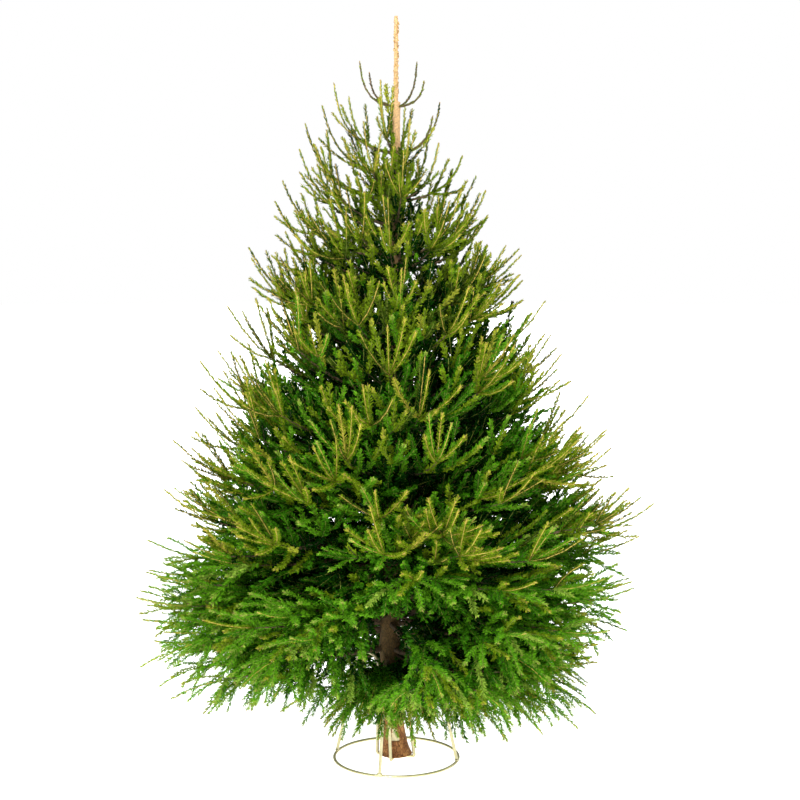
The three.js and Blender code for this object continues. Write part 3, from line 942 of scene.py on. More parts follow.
TONES = ("deep", "middle", "fresh", "olive", "light", "pale", "straw", "dry")
# What the tips of bright sprays turn to: paler new growth, brightened out of the shade as painted highlight
LIT_TIP_TONES = {"middle": "fresh", "fresh": "pale", "olive": "light", "light": "straw"}
# Part of a shoot with its needles, from one share of its length to another
Spray = namedtuple("Spray", "shoot start end")

# Chances of each tone, by where a spray grows, how deep in shade it lies and its age. The darker tones
# inside and half way in are painted shade, beside the older needles' own darker green
UPPER_HEIGHT = 0.63
TOP_HEIGHT = 1.25
# How far the top's colours reach up and down, and how quickly that changes from twig to twig
ZONE_BLUR = 0.28
ZONE_TURN = 400.0
TONE_CHANCES_WITH_PAINTED_SHADE = {
    "top inside": (("deep", 0.92), ("olive", 0.08)),
    "upper inside": (("deep", 0.84), ("middle", 0.16)),
    "lower inside": (("deep", 0.52), ("middle", 0.48)),
    "half way in": (("middle", 0.60), ("fresh", 0.30), ("light", 0.10)),
    "top last year": (("olive", 0.48), ("light", 0.20), ("deep", 0.32)),
    "top this year": (("light", 0.56), ("straw", 0.08), ("olive", 0.30), ("deep", 0.06)),
    "upper last year": (("middle", 0.41), ("fresh", 0.20), ("light", 0.25), ("deep", 0.14)),
    "upper this year": (("light", 0.66), ("straw", 0.05), ("fresh", 0.15), ("olive", 0.14)),
    "lower last year": (("middle", 0.36), ("fresh", 0.57), ("light", 0.07)),
    "lower this year": (("fresh", 0.66), ("middle", 0.08), ("light", 0.13), ("pale", 0.13)),
}
# The open top and the fringe over the stand let light in: heights, and how much their depth counts
SHADE_HEIGHTS = (0.24, 0.32, 1.15, 1.75)
SHADE_SHARES = (0.25, 1.0, 1.0, 0.42)


def shoot_depth(shoot):
    """How deep in shade a shoot's tip lies: 0 at the crown's outline, 1 at the trunk."""
    tip = shoot.points[-1]
    depth = 1 - math.hypot(tip[0], tip[1]) / crown_radius(tip)
    return depth * float(np.interp(tip[2], SHADE_HEIGHTS, SHADE_SHARES))


def shoot_tone(shoot, random):
    """The tone of a spray's needles by its age, its place and a draw, darker deep in shade: painted shade.
    """
    draw = random()
    if shoot.order == LEADER_ORDER:
        return "dry"
    depth = shoot_depth(shoot)
    tip = shoot.points[-1]
    height = tip[2] + ZONE_BLUR * math.sin(ZONE_TURN * tip[0]) * math.cos(ZONE_TURN * tip[1])
    zone = "top" if height > TOP_HEIGHT else ("upper" if tip[2] > UPPER_HEIGHT else "lower")
    # Older sprays get their own darker green, and sprays deep in shade the same dark tones as painted shade
    if shoot.age >= 2 or depth > DEEP_SHADE:
        chances = TONE_CHANCES_WITH_PAINTED_SHADE[f"{zone} inside"]
    elif shoot.age == 1:
        chances = TONE_CHANCES_WITH_PAINTED_SHADE[f"{zone} last year"]
    # Sprays half way into the shade get middling tones: painted half shade
    elif depth > HALF_SHADE and zone != "top":
        chances = TONE_CHANCES_WITH_PAINTED_SHADE["half way in"]
    else:
        chances = TONE_CHANCES_WITH_PAINTED_SHADE[f"{zone} this year"]
    for tone, chance in chances:
        draw -= chance
        if draw < 0:
            return tone
    return chances[-1][0]


def sprays_of(shoot, tone):
    """A shoot's needles as sprays with their tones: a bright one's tip is paler, with painted highlight."""
    lit_tip_tone = LIT_TIP_TONES.get(tone)
    if not shoot.ends or shoot.age > 0 or shoot_depth(shoot) > TIP_SHADE or lit_tip_tone is None:
        return [(tone, Spray(shoot, SPRAY_START, 1.0))]
    return [(tone, Spray(shoot, SPRAY_START, TIP_START)), (lit_tip_tone, Spray(shoot, TIP_START, 1.0))]


# The twigs of these shoots get the bright tan of lit young bark, a painted highlight on their own tan
def is_lit_young_shoot(shoot):
    """True for the young shoots that stand out of the shade of the upper crown, and of the arms lower down.
    """
    stands_out = shoot.age <= 1 and shoot_depth(shoot) < TWIG_SHADE
    return stands_out and (shoot.level == 0 or shoot.points[-1][2] > UPPER_HEIGHT)


def is_own_twig(shoot):
    """True where a shoot's wood is its own, and not part of an arm or of the leader."""
    return shoot.order != LEADER_ORDER and not (shoot.level == 0 and shoot.age > 0)


def needled(shoot):
    return shoot.age < (BARE_ARM_AGE if shoot.level == 0 else BARE_AGE)


def is_whip(shoot):
    """True for the bare-looking shoots of the topmost whorls."""
    return shoot.order < WHIP_ORDERS


def openness(shoot):
    """How far a shoot's needles stand off it: least at the top and on the outermost shoots."""
    own = OPENNESS[max(shoot.order, 0)]
    outermost = shoot.level == 0 and shoot.age == 0
    return own * OUTERMOST_OPENNESS if outermost else own


def of_shoots(shoots, value):
    return np.array([value(shoot) for shoot in shoots])


def needle_rates(shoots, sizes):
    """How many needles each shoot bears, with their length and width: fewer and larger inside."""
    depth = of_shoots(shoots, shoot_depth)
    age = of_shoots(shoots, lambda shoot: min(shoot.age, INSIDE_AGE))
    inside = np.clip((depth - INSIDE_START) / INSIDE_SPAN, 0, 1)
    inside = np.maximum(inside, age / INSIDE_YEARS)
    rate = sizes.needles_per_metre * (1 - INSIDE_FEWER * inside)
    length = sizes.needle_length * (1 + INSIDE_LONGER * inside)
    width = sizes.needle_width * (1 + INSIDE_WIDER * inside)
    return rate, length, width


def normalised(vectors, least=0.0):
    return vectors / (np.linalg.norm(vectors, axis=1, keepdims=True) + least)


def upper_sides(ahead, tips):
    """Directions over and beside each needle's place, the first turned up and away from the trunk."""
    outward = normalised(tips * np.array([1.0, 1.0, 0.0]), SLIGHTEST)
    over = UP - NEEDLE_OUTWARD * outward
    over -= ahead * (over * ahead).sum(axis=1, keepdims=True)
    over = normalised(over)
    return over, np.cross(ahead, over)


def turned_between(first, second, angle):
    """Directions at an angle from the first towards the second."""
    return first * np.cos(angle)[:, None] + second * np.sin(angle)[:, None]


def needle_arrays(sprays, sizes, seed):
    """Twisted blades along many sprays, parted on the shoot's lower side."""
    draw = np.random.default_rng(seed)
    shoots = [spray.shoot for spray in sprays]
    starts = np.array([spray.start for spray in sprays])
    parts = np.array([spray.end for spray in sprays]) - starts
    paths = np.array([shoot.points for shoot in shoots])
    stems = of_shoots(shoots, lambda shoot: LEADER_RADIUS if shoot.order == LEADER_ORDER else NEEDLE_SINK)
    open_by = of_shoots(shoots, openness)
    lengths = np.linalg.norm(np.diff(paths, axis=1), axis=2).sum(axis=1)
    rate, long, wide = needle_rates(shoots, sizes)
    long = long * open_by
    counts = np.maximum((lengths * parts * rate).astype(int), LEAST_NEEDLES)
    owner = np.repeat(np.arange(len(shoots)), counts)
    count = len(owner)
    # Where each needle stands: its share of the shoot, and the straight span that this falls in
    first = np.concatenate([[0], np.cumsum(counts)[:-1]])
    rank = np.arange(count) - first[owner]
    share = (rank + draw.uniform(*NEEDLE_STEPS, count)) / counts[owner]
    share = starts[owner] + parts[owner] * share
    spans = paths.shape[1] - 1
    span = np.minimum((share * spans).astype(int), spans - 1)
    local = (share * spans - span)[:, None]
    start = paths[owner, span]
    step = paths[owner, span + 1] - start
    # Which way it points
    ahead = normalised(step)
    over, side = upper_sides(ahead, paths[owner, -1])
    turn = draw.uniform(-1, 1, count) * NEEDLE_TURN
    near_tip = np.clip((share - NEAR_TIP) / (1 - NEAR_TIP), 0, 1)
    near_tip = near_tip * of_shoots(shoots, lambda shoot: shoot.ends)[owner]
    lean = np.radians(
        NEEDLE_LEAN + NEEDLE_SIDE_LEAN * np.abs(np.sin(turn)) + draw.normal(0, NEEDLE_LEAN_SPREAD, count))
    lean *= (1 - NEAR_TIP_CHANGE * near_tip) * open_by[owner]
    radial = turned_between(over, side, turn)
    along = turned_between(ahead, radial, lean)
    # Its two edges, which are turned about it from root to tip
    flat = np.cross(ahead, radial)
    normal = np.cross(flat, along)
    roll = draw.uniform(0, math.pi, count)
    half = (wide[owner] / 2)[:, None]
    root_half = turned_between(flat, normal, roll) * half
    tip_half = turned_between(flat, normal, roll + NEEDLE_TWIST) * half * NEEDLE_POINT
    size = long[owner] * draw.uniform(*NEEDLE_LENGTHS, count) * (1 - NEAR_TIP_CHANGE * near_tip)
    root = start + step * local + radial * stems[owner][:, None]
    tip = root + along * size[:, None]
    points = np.stack([root - root_half, root + root_half, tip + tip_half, tip - tip_half], axis=1)
    base = np.arange(count)[:, None] * 4
    faces = np.concatenate([base + [0, 1, 2], base + [0, 2, 3]], axis=1).reshape(-1, 3)
    return points.reshape(-1, 3), faces


def bears_bud(shoot):
    """Buds show on the youngest shoots near the outside, and on the topmost whips."""
    outside = is_whip(shoot) or shoot_depth(shoot) < TIP_SHADE
    return shoot.ends and shoot.age == 0 and shoot.order != LEADER_ORDER and outside


def bud_arrays(shoots, length):
    """Small spindles of eight faces that close the tips of shoots."""
    tips = np.array([shoot.points[-1] for shoot in shoots])
    ahead = normalised(tips - np.array([shoot.points[-2] for shoot in shoots]))
    guide = np.where(np.abs(ahead[:, 2:]) > STEEP, ASIDE, UP)
    across = normalised(np.cross(ahead, guide))
    over = np.cross(across, ahead)
    middle = tips + ahead * length * BUD_MIDDLE
    half = length * BUD_WIDTH / 2
    ring = [middle + across * half, middle + over * half, middle - across * half, middle - over * half]
    ends = [tips + ahead * length * place for place in (BUD_START, BUD_END)]
    points = np.stack([ends[0], *ring, ends[1]], axis=1)
    spindle = [[0, 2, 1], [0, 3, 2], [0, 4, 3], [0, 1, 4], [5, 1, 2], [5, 2, 3], [5, 3, 4], [5, 4, 1]]
    faces = np.arange(len(shoots))[:, None, None] * 6 + np.array(spindle)
    return points.reshape(-1, 3), faces.reshape(-1, 3)


# Pieces shaped in edit mode

def select_only(*pieces):
    """Selects these pieces alone. The first is the active one."""
    bpy.ops.object.select_all(action="DESELECT")
    for piece in pieces:
        piece.select_set(True)
    bpy.context.view_layer.objects.active = pieces[0]


def primitive(name, add, **sizes):
    """A new primitive at its size and place, with nothing else selected and its place in its mesh."""
    bpy.ops.object.select_all(action="DESELECT")
    add(**sizes)
    piece = bpy.context.active_object
    piece.name = name
    bpy.ops.object.transform_apply(location=True, rotation=True, scale=True)
    return piece


def ringed_cylinder(name, sides, cuts):
    """A cylinder of radius and height one that stands on the floor, and how many rings it is cut into."""
    piece = primitive(name, bpy.ops.mesh.primitive_cylinder_add, vertices=sides, radius=1, depth=1,
                      location=(0, 0, 0.5))
    cut_into_rings(piece, cuts)
    return piece, math.prod(number + 1 for number in cuts)


def select_where(piece, kind, wanted):
    """Selects the edges or the faces of a piece in edit mode that pass a test, and nothing else."""
    bpy.ops.mesh.select_mode(type=kind)
    bpy.ops.mesh.select_all(action="DESELECT")
    shape = bmesh.from_edit_mesh(piece.data)
    for part in shape.edges if kind == "EDGE" else shape.faces:
        part.select_set(bool(wanted(part)))
    bmesh.update_edit_mesh(piece.data)


def rises(edge):
    first, second = edge.verts
    return abs(first.co.z - second.co.z) > SLIGHT


def cut_into_rings(piece, cuts):
    """Cuts the upright edges of a cylinder, in one pass or more."""
    bpy.ops.object.mode_set(mode="EDIT")
    for number in cuts:
        select_where(piece, "EDGE", rises)
        bpy.ops.mesh.subdivide(number_cuts=number)
    bpy.ops.object.mode_set(mode="OBJECT")


def laid_along(piece, heights, widening=1.0):
    """Lays the rings of a cylinder of radius and height one along the trunk's own path."""
    mesh = piece.data
    flat = np.empty(len(mesh.vertices) * 3, dtype=np.float32)
    mesh.vertices.foreach_get("co", flat)
    points = flat.reshape(-1, 3).astype(float)
    level = np.rint(points[:, 2] * (len(heights) - 1)).astype(int)
    found = len(np.unique(level))
    if found != len(heights):
        raise RuntimeError(f"{piece.name} has {found} rings and not {len(heights)}")
    centres = np.array([trunk_centre(height) for height in heights])[level]
    radii = np.array([trunk_radius(height) for height in heights])[level] * widening
    points = centres + np.column_stack([points[:, 0] * radii, points[:, 1] * radii, np.zeros(len(level))])
    mesh.vertices.foreach_set("co", (points + AXIS).astype(np.float32).ravel())
    mesh.update()


def displaced(piece, kind, size, strength):
    """Relief from a procedural texture, applied to the mesh."""
    texture = bpy.data.textures.new(f"{piece.name}_{kind.lower()}", kind)
    texture.noise_scale = size
    modifier = piece.modifiers.new("relief", "DISPLACE")
    modifier.texture = texture
    modifier.texture_coords = "LOCAL"
    modifier.mid_level = 0.5
    modifier.strength = strength
    bpy.context.view_layer.objects.active = piece
    bpy.ops.object.modifier_apply(modifier=modifier.name)


def recessed_faces(piece, wanted, material_index, thickness, depth):
    """Insets the wanted faces as one field and gives the field another material."""
    bpy.ops.object.mode_set(mode="EDIT")
    select_where(piece, "FACE", wanted)
    bpy.ops.mesh.inset(thickness=thickness, depth=-depth)
    for face in bmesh.from_edit_mesh(piece.data).faces:
        if face.select:
            face.material_index = material_index
    bmesh.update_edit_mesh(piece.data)
    bpy.ops.object.mode_set(mode="OBJECT")


def is_foot_cut(face):
    return face.normal.z < FACING_DOWN and face.calc_center_median().z < FOOT_HEIGHT + FOOT_RIM


def is_pared(face):
    """Faces of a patch on the front of the foot that narrows upwards."""
    centre = face.calc_center_median()
    share = (centre.z - PATCH_LOW) / (PATCH_HIGH - PATCH_LOW)
    half = PATCH_HALF_WIDTH * (1 - PATCH_NARROWING * share)
    aside = centre.x - AXIS[0] - trunk_bow(centre.z) - PATCH_MIDDLE
    return 0 < share < 1 and abs(aside) < half and centre.y < AXIS[1]


def wire_path(turned, wire_radius, ring_radius):
    """Points of one wire: up from the ring, over, down beside the trunk and under its foot."""
    lean = math.radians(WIRE_LEAN)
    ring_top = 2 * wire_radius * math.cos(math.pi / WIRE_SIDES)
    start = ring_top + CLEARANCE + wire_radius * math.sin(lean)
    outer_top = ring_radius - (WIRE_HEIGHT - start) * math.tan(lean)
    middle = (outer_top + INNER_TOP) / 2
    bend = (outer_top - INNER_TOP) / 2
    places = [(ring_radius, start, 0.0)]
    for step in range(BEND_STEPS + 1):
        share = step / BEND_STEPS
        angle = math.pi * share
        places.append((middle + bend * math.cos(angle), WIRE_HEIGHT + bend * math.sin(angle), share))
    under = FOOT_HEIGHT - CLEARANCE - wire_radius
    corner_steps = BEND_STEPS // 4
    for step in range(corner_steps + 1):
        angle = math.pi / 2 * step / corner_steps
        out = INNER_FOOT - UNDER_BEND * (1 - math.cos(angle))
        places.append((out, under + UNDER_BEND * (1 - math.sin(angle)), 1.0))
    places.append((UNDER_END, under, 1.0))
    points = []
    for out, height, beside_trunk in places:
        x = out * math.cos(turned) + trunk_bow(height) * beside_trunk
        points.append(np.array([x, out * math.sin(turned), height]) + AXIS)
    return points


def rod(name, points, radius):
    """A round wire along a path, as a mesh."""
    curve = bpy.data.curves.new(name, "CURVE")
    curve.dimensions = "3D"
    curve.bevel_depth = radius
    curve.bevel_resolution = ROD_SEGMENTS // 4 - 1
    curve.use_fill_caps = True
    spline = curve.splines.new("POLY")
    spline.points.add(len(points) - 1)
    for point, place in zip(spline.points, points):
        point.co = (*place, 1)
    piece = bpy.data.objects.new(name, curve)
    bpy.context.scene.collection.objects.link(piece)
    select_only(piece)
    bpy.ops.object.convert(target="MESH")
    return piece


def weld(place, turned):
    """A small flattened bead where a wire stands on the ring."""
    bead = primitive("weld", bpy.ops.mesh.primitive_uv_sphere_add, segments=16, ring_count=10, radius=1,
                     scale=WELD_SIZE, rotation=(0, 0, turned + math.pi / 2), location=place)
    displaced(bead, "CLOUDS", WELD_LUMPS, WELD_RELIEF)
    return bead


def smooth(piece):
    select_only(piece)
    bpy.ops.object.shade_smooth_by_angle(angle=SMOOTH_ANGLE)


# Materials

class Finish:
    """A node material while it is made. Inputs of its nodes are values or other nodes' outputs."""

    def __init__(self, name):
        self.material = bpy.data.materials.new(name)
        self.material.use_nodes = True
        self.tree = self.material.node_tree
        self.place = self.node("ShaderNodeTexCoord").outputs["Object"]

    def fill(self, node, inputs):
        for name, value in inputs.items():
            if isinstance(value, bpy.types.NodeSocket):
                self.tree.links.new(value, node.inputs[name])
            else:
                node.inputs[name].default_value = value

    def node(self, kind, inputs=None, **settings):
        node = self.tree.nodes.new(kind)
        for name, value in settings.items():
            setattr(node, name, value)
        self.fill(node, inputs or {})
        return node

    def noise(self, place, scale, detail):
        inputs = {"Vector": place, "Scale": scale, "Detail": detail}
        return self.node("ShaderNodeTexNoise", inputs).outputs["Fac"]

    def ramp(self, factor, low, high, start=0.0, end=1.0):
        """Colour that turns from one shade to another as a factor goes from start to end."""
        node = self.node("ShaderNodeValToRGB", {"Fac": factor})
        for stop, position, colour in zip(node.color_ramp.elements, (start, end), (low, high)):
            stop.position = position
            stop.color = (*colour, 1)
        return node.outputs["Color"]

    def drift(self, low, high, scale, detail=3.0):
        """Colour that drifts between two shades over the object's own space, and its noise."""
        noise = self.noise(self.place, scale, detail)
        return self.ramp(noise, low, high, 0.32, 0.68), noise

    def mapped(self, value, inputs):
        return self.node("ShaderNodeMapRange", {"Value": value, **inputs}).outputs["Result"]

    def mixed(self, factor, first, second):
        inputs = {"Factor": factor, "A": first, "B": second}
        return self.node("ShaderNodeMix", inputs, data_type="RGBA").outputs["Result"]

    def drift_above(self, height, colour, zone, towards):
        """Colour that turns to another from one height to the next, by a share."""
        low, high, most = zone
        above = self.mapped(height, {"From Min": low, "From Max": high, "To Max": most})
        return self.mixed(above, colour, (*towards, 1))

    def bump(self, height, strength, distance):
        inputs = {"Height": height, "Strength": strength, "Distance": distance}
        return self.node("ShaderNodeBump", inputs).outputs["Normal"]

    def done(self, inputs):
        """The material, with its shader's own values and colours."""
        self.fill(self.tree.nodes["Principled BSDF"], inputs)
        return self.material


def shaded(colour, factor):
    return tuple(min(1.0, channel * factor) for channel in colour)


def needle_material(tone, colour):
    finish = Finish(f"needles_{tone}")
    drift, _ = finish.drift(shaded(colour, 0.62), shaded(colour, 1.40), 150.0)
    return finish.done({"Base Color": drift, "Roughness": 0.42, "Specular IOR Level": 0.04})


def wood_material(name, colour, shades, scale, roughness=0.85, bump=0.35):
    """Thin bark of twigs: a drift of colour with the same noise as relief."""
    finish = Finish(name)
    dark, pale = (shaded(colour, shade) for shade in shades)
    drift, noise = finish.drift(dark, pale, scale, 6.0)
    relief = finish.bump(noise, bump, 0.002)
    return finish.done({"Base Color": drift, "Normal": relief, "Roughness": roughness})


def scaly_bark(name, crack, dark, pale, young):
    """Thin scales, each in its own shade, with dark cracks between them, painted darker and greener above
    the foot as the crown's shade and green reflection, and tan near the top."""
    finish = Finish(name)
    stretched = finish.node("ShaderNodeMapping", {"Vector": finish.place, "Scale": (1.0, 1.0, 0.55)})
    place = stretched.outputs["Vector"]
    cells = {"Vector": place, "Scale": 150.0}
    shades = finish.node("ShaderNodeTexVoronoi", cells)
    edges = finish.node("ShaderNodeTexVoronoi", cells, feature="DISTANCE_TO_EDGE")
    grey = finish.node("ShaderNodeRGBToBW", {"Color": shades.outputs["Color"]})
    parts = {0: grey.outputs["Val"], 1: 0.45, 2: finish.noise(place, 45.0, 6.0)}
    blend = finish.node("ShaderNodeMath", parts, operation="MULTIPLY_ADD")
    scales = finish.ramp(blend.outputs["Value"], dark, pale, 0.45, 0.95)
    cracks = finish.mapped(edges.outputs["Distance"], {"From Max": 0.12})
    cracked = finish.mixed(cracks, (*crack, 1), scales)
    height = finish.node("ShaderNodeSeparateXYZ", {"Vector": finish.place}).outputs["Z"]
    # Painted shade and painted green reflection: above the foot the bark is mixed towards a dark green-grey
    crown_shaded = finish.drift_above(height, cracked, BARK_SHADE_ZONE, BARK_SHADE_GREEN)
    tanned = finish.drift_above(height, crown_shaded, BARK_TANS, young)
    relief = finish.bump(cracks, 0.6, 0.0015)
    return finish.done({"Base Color": tanned, "Normal": relief, "Roughness": 0.85})


def cut_wood_material(colour):
    """Fresh wood with yearly rings round the trunk's axis."""
    finish = Finish("cut_wood")
    centred = finish.node("ShaderNodeMapping", {
        "Vector": finish.place, "Location": (-AXIS[0] - trunk_bow(FOOT_HEIGHT), -AXIS[1], 0)})
    rings = finish.node("ShaderNodeTexWave", {
        "Vector": centred.outputs["Vector"], "Scale": 90.0, "Distortion": 1.5, "Detail Scale": 2.0,
    }, wave_type="RINGS", rings_direction="Z")
    ramp = finish.ramp(rings.outputs["Fac"], shaded(colour, 0.72), colour)
    return finish.done({"Base Color": ramp, "Roughness": 0.7})


def wire_material(colour):
    """Bright drawn wire: a faint drift of shade, and fine scratches in its gloss."""
    finish = Finish("brass_wire")
    drift, _ = finish.drift(shaded(colour, 0.86), shaded(colour, 1.08), 38.0)
    scratches = finish.noise(finish.place, 700.0, 4.0)
    gloss = finish.mapped(scratches, {"To Min": 0.20, "To Max": 0.42})
    relief = finish.bump(scratches, 0.12, 0.0005)
    return finish.done({"Base Color": drift, "Roughness": gloss, "Normal": relief, "Metallic": 0.55})


def floor_material(glow):
    """White paint that gives off some light itself."""
    finish = Finish("floor_paint")
    drift, _ = finish.drift((0.88, 0.88, 0.88), (0.91, 0.91, 0.91), 2.0)
    return finish.done({"Base Color": drift, "Roughness": 0.9, "Emission Color": (1, 1, 1, 1),
                        "Emission Strength": glow})


# User's sizes and colours

def colour_property(name, description, default):
    return bpy.props.FloatVectorProperty(
        name=name, description=description, default=default, subtype="COLOR", size=3, min=0, max=1)


def length_property(name, description, default):
    return bpy.props.FloatProperty(name=name, description=description, default=default, unit="LENGTH")


def plain_property(name, description, default, low=0.0):
    return bpy.props.FloatProperty(name=name, description=description, default=default, min=low)


class SpruceSizes(bpy.types.PropertyGroup):
    needle_length: length_property("Needle length", "Length of a needle on a young shoot", 0.0135)
    needle_width: length_property("Needle width", "Width of a needle on a young shoot", 0.0031)
    needles_per_metre: plain_property("Needles per metre", "Needles on a metre of young shoot", 900.0, 1)
    shoot_radius: length_property("Shoot radius", "Radius of a young shoot at its root", 0.0013)
    bud_length: length_property("Bud length", "Length of the buds at the tips of shoots", 0.0062)
    bark_relief: length_property("Bark relief", "Height of the scales of the trunk's bark", 0.0022)
    wire_radius: length_property("Wire radius", "Radius of the stand's wire", 0.0045)


class SpruceColours(bpy.types.PropertyGroup):
    # Deep and middle green are the older needles' own darker greens, and painted shade inside the crown
    deep: colour_property("Deep green", "Needles in the shade of the crown", (0.004, 0.036, 0.001))
    middle: colour_property("Middle green", "Older needles near the outside", (0.036, 0.150, 0.003))
    fresh: colour_property("Fresh green", "Young needles of the lower boughs", (0.105, 0.300, 0.009))
    light: colour_property("Light green", "Young needles of the upper boughs", (0.165, 0.262, 0.008))
    # Pale green is the new growth at the tips of the lower boughs, brightened as painted highlight
    pale: colour_property("Pale green", "Tips of the lower boughs", (0.250, 0.400, 0.045))
    olive: colour_property("Olive", "Needles of the crown's top", (0.060, 0.108, 0.006))
    # Straw is the palest new growth at the outer tips, its brightness a painted highlight
    straw: colour_property("Straw", "Needles that have yellowed in the light", (0.330, 0.360, 0.030))
    dry: colour_property("Dry needles", "The few needles of the leader", (0.560, 0.390, 0.160))
    # Green twig: young shoots in the shade, as painted shade, and those of the lower crown. Young twig: the
    # bright tan of lit young shoots, a painted highlight on their own tan
    green_twig: colour_property("Green twig", "Bark of young shoots in the shade", (0.200, 0.240, 0.030))
    young_twig: colour_property("Young twig", "Bark of the youngest shoots", (0.580, 0.410, 0.075))
    old_twig: colour_property("Old twig", "Bark of older twigs", (0.065, 0.052, 0.020))
    bud: colour_property("Bud", "Buds at the tips of shoots", (0.360, 0.210, 0.080))
    bough: colour_property("Bough", "Bark of the boughs", (0.150, 0.098, 0.050))
    leader: colour_property("Leader", "Bark of the leader", (0.640, 0.400, 0.180))
    bark_dark: colour_property("Dark bark", "Darkest scales of the trunk's bark", (0.220, 0.066, 0.017))
    bark_pale: colour_property("Pale bark", "Palest scales of the trunk's bark", (0.560, 0.255, 0.082))
    cut_wood: colour_property("Cut wood", "Bare wood of the foot", (0.960, 0.820, 0.520))
    wire: colour_property("Wire", "Brass-coloured wire of the stand", (0.640, 0.580, 0.340))


class SpruceStage(bpy.types.PropertyGroup):
    key: plain_property("Key light", "Strength of the key light", 3.2)
    front: plain_property("Front light", "Strength of the low light from the front", 0.6)
    fill: plain_property("Fill light", "Strength of the fill light", 0.9)
    surround: plain_property("Surround", "Strength of the light from all around", 0.34)
    floor_glow: plain_property("Floor glow", "Light that the white floor itself gives off", 1.35)


# Operators

_grown = {}


def grown():
    """The tree is grown once, and every operator takes its own kind of piece from it."""
    if not _grown:
        _grown["shoots"], _grown["limbs"] = grow_tree()
    return _grown


def finish_piece(piece, slot, *nodes):
    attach(piece, "root")
    if nodes:
        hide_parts(*nodes)


def node_names(prefix):
    return sorted(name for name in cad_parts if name.startswith(prefix))


class AddTrunk(bpy.types.Operator):
    """Trunk with its root flare, its swellings, its scaly bark and the cut under its foot"""
    bl_idname = "spruce.add_trunk"
    bl_label = "Trunk"

    def execute(self, context):
        relief = context.scene.spruce_sizes.bark_relief
        colours = context.scene.spruce_colours
        trunk, rings = ringed_cylinder("trunk_bark", TRUNK_SIDES, TRUNK_CUTS)
        foot_rings = round(rings * FOOT_ZONE_RINGS)
        foot = np.linspace(FOOT_HEIGHT, FOOT_ZONE, foot_rings + 1)
        rest = np.linspace(FOOT_ZONE, LEADER_START, rings - foot_rings + 1)
        laid_along(trunk, np.concatenate([foot, rest[1:]]))
        displaced(trunk, "CLOUDS", TRUNK_LUMPS, relief * 2)
        displaced(trunk, "VORONOI", TRUNK_SCALES, relief)
        trunk.data.materials.append(scaly_bark(
            "trunk_bark", shaded(colours.bark_dark, 0.4), colours.bark_dark, colours.bark_pale,
            shaded(colours.leader, 0.6)))
        trunk.data.materials.append(cut_wood_material(tuple(colours.cut_wood)))
        recessed_faces(trunk, is_foot_cut, 1, FOOT_RIM, 0.0)
        recessed_faces(trunk, is_pared, 1, PATCH_RIM, PATCH_DEPTH)
        smooth(trunk)
        finish_piece(trunk, "bark", "trunk")
        return {"FINISHED"}


class AddLeader(bpy.types.Operator):
    """The tan leader, rough with the pegs that its needles stood on"""
    bl_idname = "spruce.add_leader"
    bl_label = "Leader"

    def execute(self, context):
        colour = tuple(context.scene.spruce_colours.leader)
        leader, rings = ringed_cylinder("leader_bark", LEADER_SIDES, LEADER_CUTS)
        heights = np.linspace(LEADER_START - LEADER_OVERLAP, TREE_HEIGHT - LEADER_END_GAP, rings + 1)
        laid_along(leader, heights, LEADER_WIDENING)
        displaced(leader, "VORONOI", LEADER_PEGS, LEADER_RELIEF)
        leader.data.materials.append(wood_material("leader_bark", colour, (0.60, 1.25), 210.0, 0.75, 0.5))
        smooth(leader)
        finish_piece(leader, "bark")
        return {"FINISHED"}


class AddBoughs(bpy.types.Operator):
    """Bare inner boughs and the wood of their arms"""
    bl_idname = "spruce.add_boughs"
    bl_label = "Boughs"

    def execute(self, context):
        colour = tuple(context.scene.spruce_colours.bough)
        parts = [tubes(limb.points[None], limb.radii[None], BOUGH_SIDES) for limb in grown()["limbs"]]
        points, faces = joined(parts)
        material = wood_material("bough_bark", colour, (0.4, 1.4), 90.0)
        finish_piece(mesh_piece("bough_bark", points, faces, material, True), "bark", *node_names("bough_"))
        return {"FINISHED"}


class AddTwigs(bpy.types.Operator):
    """Young shoots and older twigs under the needles, painted tan where lit and darker in the shade"""
    bl_idname = "spruce.add_twigs"
    bl_label = "Twigs"

    def execute(self, context):
        radius = context.scene.spruce_sizes.shoot_radius
        colours = context.scene.spruce_colours
        shoots = [shoot for shoot in grown()["shoots"] if is_own_twig(shoot)]
        young = [shoot for shoot in shoots if is_lit_young_shoot(shoot)]
        others = [shoot for shoot in shoots if not is_lit_young_shoot(shoot)]
        # Lit young twigs get the bright tan, young ones in the shade and in the lower crown green, and
        # older ones dark: painted highlight and painted shade beside their own colours
        for name, chosen, colour in (
            ("young_twigs", young, colours.young_twig),
            ("green_twigs", [shoot for shoot in others if shoot.age == 0], colours.green_twig),
            ("old_twigs", [shoot for shoot in others if shoot.age > 0], colours.old_twig),
        ):
            paths = np.array([shoot.points for shoot in chosen])
            wide = radius * (YOUNG_TWIG_WIDENING if chosen is young else 1.0)
            roots = np.array([wide * (1 + TWIG_YEAR_WIDENING * shoot.age) for shoot in chosen])
            radii = roots[:, None] * np.linspace(1, TWIG_TIP, paths.shape[1])
            points, faces = tubes(paths, radii, TWIG_SIDES)
            material = wood_material(name, colour, (0.75, 1.2), 120.0)
            finish_piece(mesh_piece(name, points, faces, material, True), "bark")
        return {"FINISHED"}


